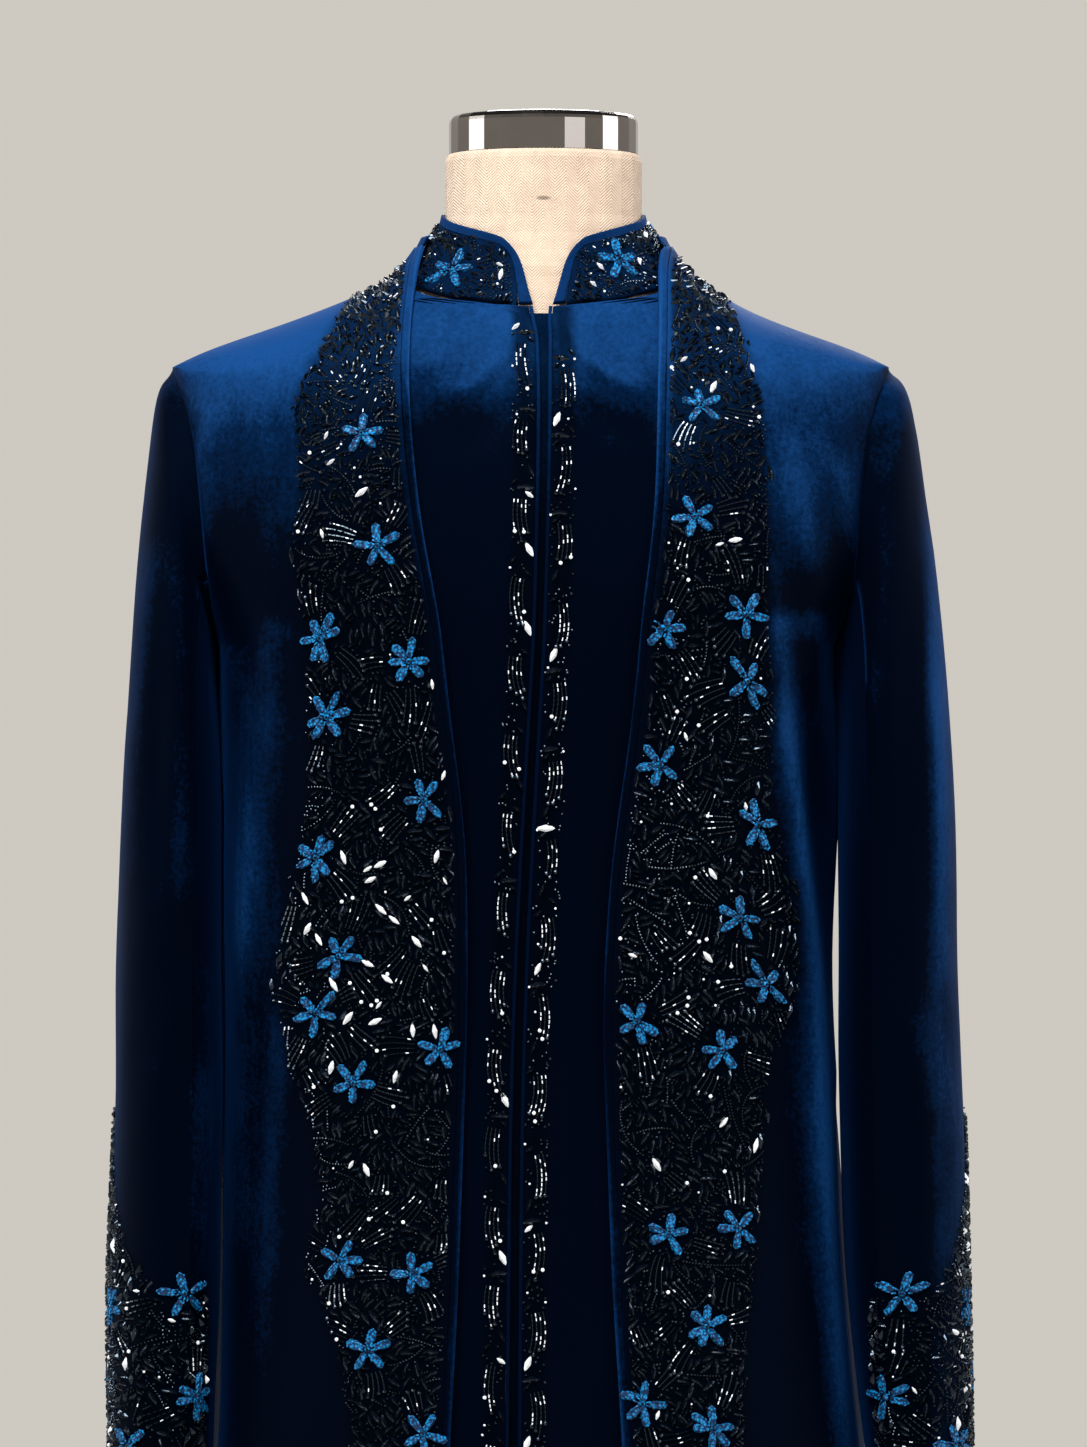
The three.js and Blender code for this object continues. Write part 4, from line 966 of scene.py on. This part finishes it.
class Embroidery:
    """The beads of one field, laid so that they stay clear of each other."""

    CELL = 6 * MM

    def __init__(self, name, ground, inside, seed, whiteness):
        self.name = name
        self.ground = ground
        self.inside = inside
        self.chance = random.Random(seed)
        self.whiteness = whiteness
        self.beads = {"beads": [], "stones": [], "petals": []}
        self.taken = {}

    def free(self, u, v, radius):
        i, j = int(u // self.CELL), int(v // self.CELL)
        for a in (i - 1, i, i + 1):
            for b in (j - 1, j, j + 1):
                for x, y, r in self.taken.get((a, b), ()):
                    if math.hypot(u - x, v - y) < radius + r:
                        return False
        return True

    def take(self, u, v, radius):
        cell = (int(u // self.CELL), int(v // self.CELL))
        self.taken.setdefault(cell, []).append((u, v, radius))

    def put(self, pattern, slot, u, v, angle, size, lift=0.0):
        seat = self.ground.seat(u, v, angle, [number * MM for number in size], lift * MM)
        if seat is not None:
            self.beads[slot].append((pattern, seat))

    def seed(self, slot, u, v, size, lift=0.6):
        self.put("seed", slot, u, v, 0, (size, size, size), lift)

    def white_or_dark(self, share):
        return "stones" if self.chance.random() < share else "beads"

    def anywhere(self, bounds):
        return self.chance.uniform(bounds[0], bounds[1]), self.chance.uniform(bounds[2], bounds[3])

    def flower(self, u, v):
        """Petals of blue cut beads round a dark stone, each petal edged with short tubes."""
        chance = self.chance
        petals = 6 if chance.random() < 0.2 else 5
        start = chance.uniform(0, math.tau)
        for k in range(petals):
            angle = start + math.tau * k / petals + chance.uniform(-0.26, 0.26)
            length = chance.uniform(10.8, 14.4)
            width = chance.uniform(5.0, 6.4)
            place = onward(u, v, (1.6 + length / 2) * MM, angle)
            self.put("petal", "petals", *place, angle, (length, width, 1.5))
            for along in range(5):
                for across in (-1, 1):
                    reach = (3.4 + (length - 3.6) * along / 4) * MM
                    off = across * width * (0.22 + 0.07 * along - 0.022 * along ** 2) * MM
                    cu = u + reach * math.cos(angle) - off * math.sin(angle)
                    cv = v + reach * math.sin(angle) + off * math.cos(angle)
                    turn = angle + across * (0.5 - 0.3 * along) + chance.uniform(-0.5, 0.5)
                    self.put("tube", "petals", cu, cv, turn, (chance.uniform(2.2, 3.0), 1.2, 1.2), 1.5)
        self.put("round", "petals", u, v, 0, (5.0, 5.0, 2.0), 0.3)
        self.put("round", "beads", u, v, 0, (2.6, 2.6, 2.0), 1.2)
        self.take(u, v, 8.0 * MM)
        for k in range(petals):
            angle = start + math.tau * k / petals
            self.take(*onward(u, v, 11 * MM, angle), 3.6 * MM)

    def strands(self, u, v, angle, count, length, apart=2.5, spread=0.07, bend=0.0, glints=0.15):
        """A bundle of bead strings side by side from a place, each ending in a round bead."""
        chance = self.chance
        middle = (count - 1) / 2
        laid = []
        for k in range(count):
            across = (k - middle) * apart * MM
            heading = angle + (k - middle) * spread
            x, y = u - across * math.sin(angle), v + across * math.cos(angle)
            run = length * (1 - 0.12 * abs(k - middle)) * chance.uniform(0.85, 1.08)
            gone = 0.0
            while gone + TUBE_STEP < run:
                place = onward(x, y, TUBE_STEP / 2 * MM, heading)
                if not (self.inside(*place) and self.free(*place, 0.5 * MM)):
                    break
                slot = self.white_or_dark(glints)
                size = WHITE_TUBE if slot == "stones" else DARK_TUBE
                self.put("tube", slot, *place, heading, size, 0.55)
                x, y = onward(x, y, TUBE_STEP * MM, heading)
                heading += bend * TUBE_STEP
                gone += TUBE_STEP
                laid.append(place)
            if gone > 0 and self.inside(x, y):
                slot = self.white_or_dark(2.5 * self.whiteness(u, v) + 0.05)
                self.put("seed", slot, x, y, 0, STRING_END, 0.9)
                laid.append((x, y))
        for place in laid:
            self.take(*place, 1.3 * MM)

    def sprig(self, u, v, angle, length, bend):
        """A curved stem of seeds with leaves to either side in turn."""
        gone, side = 0.0, self.chance.choice((-1, 1))
        while gone < length:
            heading = angle + bend * gone
            u, v = onward(u, v, STEM_STEP * MM, heading)
            if not (self.inside(u, v) and self.free(u, v, 0.6 * MM)):
                return
            self.seed("beads", u, v, 1.5)
            self.take(u, v, 0.7 * MM)
            if int(gone / LEAF_EVERY) != int((gone + STEM_STEP) / LEAF_EVERY):
                lean = heading + side * self.chance.uniform(0.6, 0.95)
                size = self.chance.uniform(8.2, 10.8)
                self.leaf(*onward(u, v, (size / 2 + 2.2) * MM, lean), lean, size, size * 0.38)
                side = -side
            gone += STEM_STEP

    def leaf(self, u, v, angle, length, width):
        """One leaf-shaped stone, if it has room at its middle and towards both ends."""
        if not (self.inside(u, v) and self.free(u, v, 0.8 * MM)):
            return
        half = length * 0.31 * MM
        ends = [(u, v)] + [onward(u, v, side * half, angle) for side in (-1, 1)]
        radius = width * 0.33 * MM
        if not all(self.inside(*end) and self.free(*end, radius) for end in ends):
            return
        slot = self.white_or_dark(self.whiteness(u, v))
        self.put("leaf", slot, u, v, angle, (length, width, LEAF_HEIGHT))
        for end in ends:
            self.take(*end, radius)

    def fill(self, bounds, sprigs, leaves, seeds):
        """Sprigs, leaves from large to small, then seeds, each tried so many times; then all is sewn on."""
        self.sprigs(bounds, sprigs)
        for tries, longest in leaves:
            self.leaves(bounds, tries, longest)
        self.seeds(bounds, seeds)
        self.sewn()

    def sprigs(self, bounds, tries):
        chance = self.chance
        for _ in range(tries):
            u, v = self.anywhere(bounds)
            if self.inside(u, v) and self.free(u, v, 2.5 * MM):
                angle, length = chance.uniform(0, math.tau), chance.uniform(18, 42)
                self.sprig(u, v, angle, length, chance.uniform(-0.05, 0.05))

    def leaves(self, bounds, tries, longest):
        """Leaves along a flow that wanders, wherever they still fit."""
        chance = self.chance
        for _ in range(tries):
            u, v = self.anywhere(bounds)
            if not self.inside(u, v):
                continue
            flow = noise.noise(Vector((u * 22, v * 22, bounds[2] * 7)))
            angle = math.pi / 2 + 1.9 * flow + chance.choice((-0.6, 0.6)) + chance.uniform(-0.2, 0.2)
            length = longest * chance.uniform(0.75, 1.0)
            self.leaf(u, v, angle, length, length * chance.uniform(0.34, 0.42))

    def seeds(self, bounds, tries):
        for _ in range(tries):
            u, v = self.anywhere(bounds)
            if self.inside(u, v) and self.free(u, v, 0.8 * MM):
                self.seed(self.white_or_dark(0.025), u, v, self.chance.uniform(1.2, 1.9))
                self.take(u, v, 0.8 * MM)

    def sewn(self):
        for slot, seats in self.beads.items():
            if seats:
                strewn("{}_{}".format(self.name, slot), seats, slot)


# The fields' lowest and highest z in millimetres, and how ragged their borders are
FRONT_ENDS = (434, 1492)
FRONT_RAGGED = 4.5 * MM
CUFF_RAGGED = 5 * MM
EDGE_MARGIN = 8 * MM


def front_field(side, ground):
    column = column_of(side)

    def inside(u, v):
        point, _ = ground.hit(u, v)
        if point is None or point.y > -4 * MM:
            return False
        z = point.z / MM
        edge = abs(read(FRONT_EDGES, z, column)) * MM + EDGE_MARGIN
        ragged = FRONT_RAGGED * noise.noise(Vector((side * 3, v * 60, 0)))
        border = abs(read(FIELD_BORDERS, z, column)) * MM + ragged
        return edge < side * u < border and FRONT_ENDS[0] < z < FRONT_ENDS[1]

    return inside


def glitter(side):
    """The share of white stones: most on the wearer's right at the waist, where the light catches them."""
    centre = (-0.09, 1.07) if side < 0 else (0.10, 1.02)
    share = 0.13 if side < 0 else 0.04

    def whiteness(u, v):
        return 0.012 + share * bell(v - centre[1], 0.10) * bell(u - centre[0], 0.05)

    return whiteness


def bead_front(side):
    """Flowers, strings from each flower, more strings where there is room, then sprigs, leaves and seeds."""
    name = side_name(side)
    ground = Ground(["over_front_" + name], from_above)
    inside = front_field(side, ground)
    work = Embroidery("front_" + name, ground, inside, 11 + side, glitter(side))
    chance = work.chance
    places = [seen_from_above(ground, x * MM, z * MM) for x, z in FRONT_FLOWERS[side]]
    for u, v in places:
        work.flower(u, v)
    for u, v in places:
        start = chance.uniform(0, math.tau)
        for k in range(3):
            angle = start + k * math.tau / 3 + chance.uniform(-0.4, 0.4)
            place = onward(u, v, STRINGS_START, angle)
            count, length = chance.choice((3, 4, 4)), chance.uniform(17, 27)
            work.strands(*place, angle, count, length, bend=chance.uniform(-0.02, 0.02))
    for _ in range(120):
        u, v = side * chance.uniform(0.045, 0.16), chance.uniform(0.44, 1.56)
        if inside(u, v) and work.free(u, v, 5 * MM):
            angle = -math.pi / 2 + chance.uniform(-0.9, 0.9)
            count, length = chance.choice((3, 3, 4)), chance.uniform(14, 24)
            work.strands(u, v, angle, count, length, bend=chance.uniform(-0.025, 0.025))
    bounds = sorted((side * 0.04, side * 0.18)) + [0.434, 1.575]
    work.fill(bounds, sprigs=700, leaves=((12000, 11), (14000, 7)), seeds=12000)


# The strips beside the opening: where each starts, how far apart its bundles are in millimetres, and how many
OPENING_TOP = {-1: 1.440, 1: 1.424}
OPENING_PITCH = 48
OPENING_UNITS = 21


def bead_opening(side):
    """The strip beside the opening: slanting bundles of strings between stones that lie across."""
    name = side_name(side)
    ground = Ground(["inner_front_" + name], from_front)
    work = Embroidery("opening_" + name, ground, lambda u, v: True, 31 + side, lambda u, v: 0.05)
    chance = work.chance
    for k in range(OPENING_UNITS):
        v = OPENING_TOP[side] - k * (OPENING_PITCH * MM)
        middle = (read(OPENING_LINE, v / MM) + side * OPENING_STRIP) * MM
        across = chance.uniform(-0.14, 0.14)
        work.leaf(middle - side * 1.5 * MM, v, across, 11.5, 4.4)
        work.leaf(middle + side * 5.0 * MM, v + 3.6 * MM, across - side * 0.7, 6.5, 2.8)
        work.leaf(middle - side * 4.0 * MM, v - 4.4 * MM, across + side * 0.6, 6.5, 2.8)
        for end in (-1, 1):
            slot = chance.choice(("stones", "beads", "beads", "beads"))
            work.seed(slot, middle + end * 6.8 * MM, v - 1 * MM, 1.7, 0.8)
        slant = -math.pi / 2 + side * chance.uniform(0.10, 0.24)
        place = (middle + side * 1.6 * MM, v - 7 * MM)
        bend = -side * chance.uniform(0.016, 0.022)
        count, length = chance.choice((3, 4, 4)), chance.uniform(26, 31)
        work.strands(*place, slant, count, length, apart=2.4, spread=0.02, bend=bend, glints=0.32)
        tail = (middle - side * 4.0 * MM, v - 38 * MM)
        if chance.random() < 0.3:
            work.put("leaf", "stones", *tail, slant - side * 0.6, (10, 4.0, LEAF_HEIGHT))
            work.take(*tail, 4 * MM)
        else:
            work.leaf(*tail, slant - side * 0.6, 8.5, 3.3)
        for _ in range(26):
            su, sv = middle + chance.uniform(-7.5, 7.5) * MM, v - chance.uniform(0, OPENING_PITCH) * MM
            if work.free(su, sv, 0.9 * MM):
                work.seed(work.white_or_dark(0.03), su, sv, 1.6, 0.7)
                work.take(su, sv, 0.9 * MM)
    work.sewn()


def bead_cuff(side):
    name = side_name(side)
    ground = Ground(["sleeve_top_" + name, "sleeve_under_" + name], round_cuff(side))

    def inside(u, v):
        turn = abs(u) / CUFF_RADIUS
        ragged = CUFF_RAGGED * noise.noise(Vector((u * 60, side, 0)))
        return CUFF_LOWEST < v < cuff_peak(turn) + ragged and turn < CUFF_TURN

    work = Embroidery("cuff_" + name, ground, inside, 51 + side, lambda u, v: 0.03)
    chance = work.chance
    places = [(math.radians(degrees) * CUFF_RADIUS, z * MM) for degrees, z in CUFF_FLOWERS]
    for u, v in places:
        work.flower(u, v)
    for u, v in places:
        start = chance.uniform(0, math.tau)
        for k in range(3):
            angle = start + k * math.tau / 3
            work.strands(*onward(u, v, STRINGS_START, angle), angle, 3, chance.uniform(14, 22))
    bounds = [-0.105, 0.105, CUFF_LOWEST, 0.968]
    work.fill(bounds, sprigs=350, leaves=((4000, 10.5), (5000, 6.5)), seeds=7000)


def bead_collar():
    ground = Ground(["band_collar"], round_neck)
    work = Embroidery("collar", ground, lambda u, v: ground.covers(u, v, 2.4 * MM), 71, lambda u, v: 0.03)
    chance = work.chance
    places = [(math.radians(degrees) * NECK_RADIUS, z * MM) for degrees, z in COLLAR_FLOWERS]
    for u, v in places:
        work.flower(u, v)
    for u, v in places:
        for angle in (0.3, 2.6, -0.4, 3.5):
            work.strands(*onward(u, v, STRINGS_START, angle), angle, 2, chance.uniform(9, 15))
    bounds = [-math.pi * NECK_RADIUS, math.pi * NECK_RADIUS, 1.455, 1.53]
    work.fill(bounds, sprigs=900, leaves=((8000, 9), (8000, 6)), seeds=14000)


for side in (-1, 1):
    bead_front(side)
    bead_opening(side)
    bead_cuff(side)
bead_collar()


# The dress form keeps its solids, with their real finishes
FORM = {"form_torso": "linen", "form_cap": "chrome", "form_pole": "steel", "form_base": "steel"}
for node, slot in FORM.items():
    nodes[node].data.materials.clear()
    nodes[node].data.materials.append(FINISHES[slot])


# The studio

# Each lamp: its place, what it is aimed at, its width and height, and its power
LAMPS = {
    "key": ((-0.5, -1.7, 3.5), (0, 0, 1.3), (1.5, 1.1), 120),
    "fill": ((2.6, -2.6, 1.9), (0, 0, 1.2), (1.2, 1.8), 18),
    "side": ((-2.9, -0.2, 1.6), (0, 0, 1.1), (0.8, 2.0), 26),
    "rim": ((2.9, -0.1, 1.7), (0, 0, 1.1), (0.8, 2.0), 26),
    "back": ((0.5, 3.0, 3.0), (0, 0, 1.1), (1.4, 1.4), 60),
}
FLOOR_RADIUS = 4.2
SKY_STRENGTH = 0.75
SKY_LEVEL = (0.3, (0.82, 0.78, 0.71, 1))
SKY_OVERHEAD = (0.6, (0.09, 0.09, 0.09, 1))
CAMERA_PLACE = (0, -4.6, 1.2)
SENSOR_HEIGHT = 36
LENS = 183.2

for name, (place, aim, size, power) in LAMPS.items():
    light = bpy.data.lights.new(name, "AREA")
    light.shape = "RECTANGLE"
    light.size, light.size_y = size
    light.energy = power
    lamp = in_scene(name, light)
    lamp.location = place
    lamp.rotation_euler = (Vector(aim) - Vector(place)).to_track_quat("-Z", "Y").to_euler()

circle = bmesh.new()
bmesh.ops.create_circle(circle, cap_ends=True, segments=96, radius=FLOOR_RADIUS)
floor = new_piece("floor", circle)
pale = Finish("pale floor", Roughness=0.8)
pale.colour(pale.ramp(pale.noise(3, 2), (0.3, (0.62, 0.60, 0.57)), (0.7, (0.66, 0.64, 0.61))))
floor.data.materials.append(pale.material)

scene.world = scene.world or bpy.data.worlds.new("studio")
scene.world.use_nodes = True
wide = scene.world.node_tree
sky = wide.nodes["Background"]
sky.inputs["Strength"].default_value = SKY_STRENGTH
direction = wide.nodes.new("ShaderNodeSeparateXYZ")
wide.links.new(wide.nodes.new("ShaderNodeTexCoord").outputs["Generated"], direction.inputs["Vector"])
height = wide.nodes.new("ShaderNodeMath")
height.operation = "ABSOLUTE"
wide.links.new(direction.outputs["Z"], height.inputs[0])
fade = wide.nodes.new("ShaderNodeValToRGB")
for element, (position, colour) in zip(fade.color_ramp.elements, (SKY_LEVEL, SKY_OVERHEAD)):
    element.position = position
    element.color = colour
wide.links.new(height.outputs["Value"], fade.inputs["Fac"])
wide.links.new(fade.outputs["Color"], sky.inputs["Color"])

optics = bpy.data.cameras.new("camera")
optics.sensor_fit = "VERTICAL"
optics.sensor_height = SENSOR_HEIGHT
optics.lens = LENS
camera = in_scene("camera", optics)
camera.location = CAMERA_PLACE
camera.rotation_euler = (math.pi / 2, 0, 0)
scene.camera = camera
scene.view_settings.view_transform = "Standard"

bpy.context.view_layer.update()
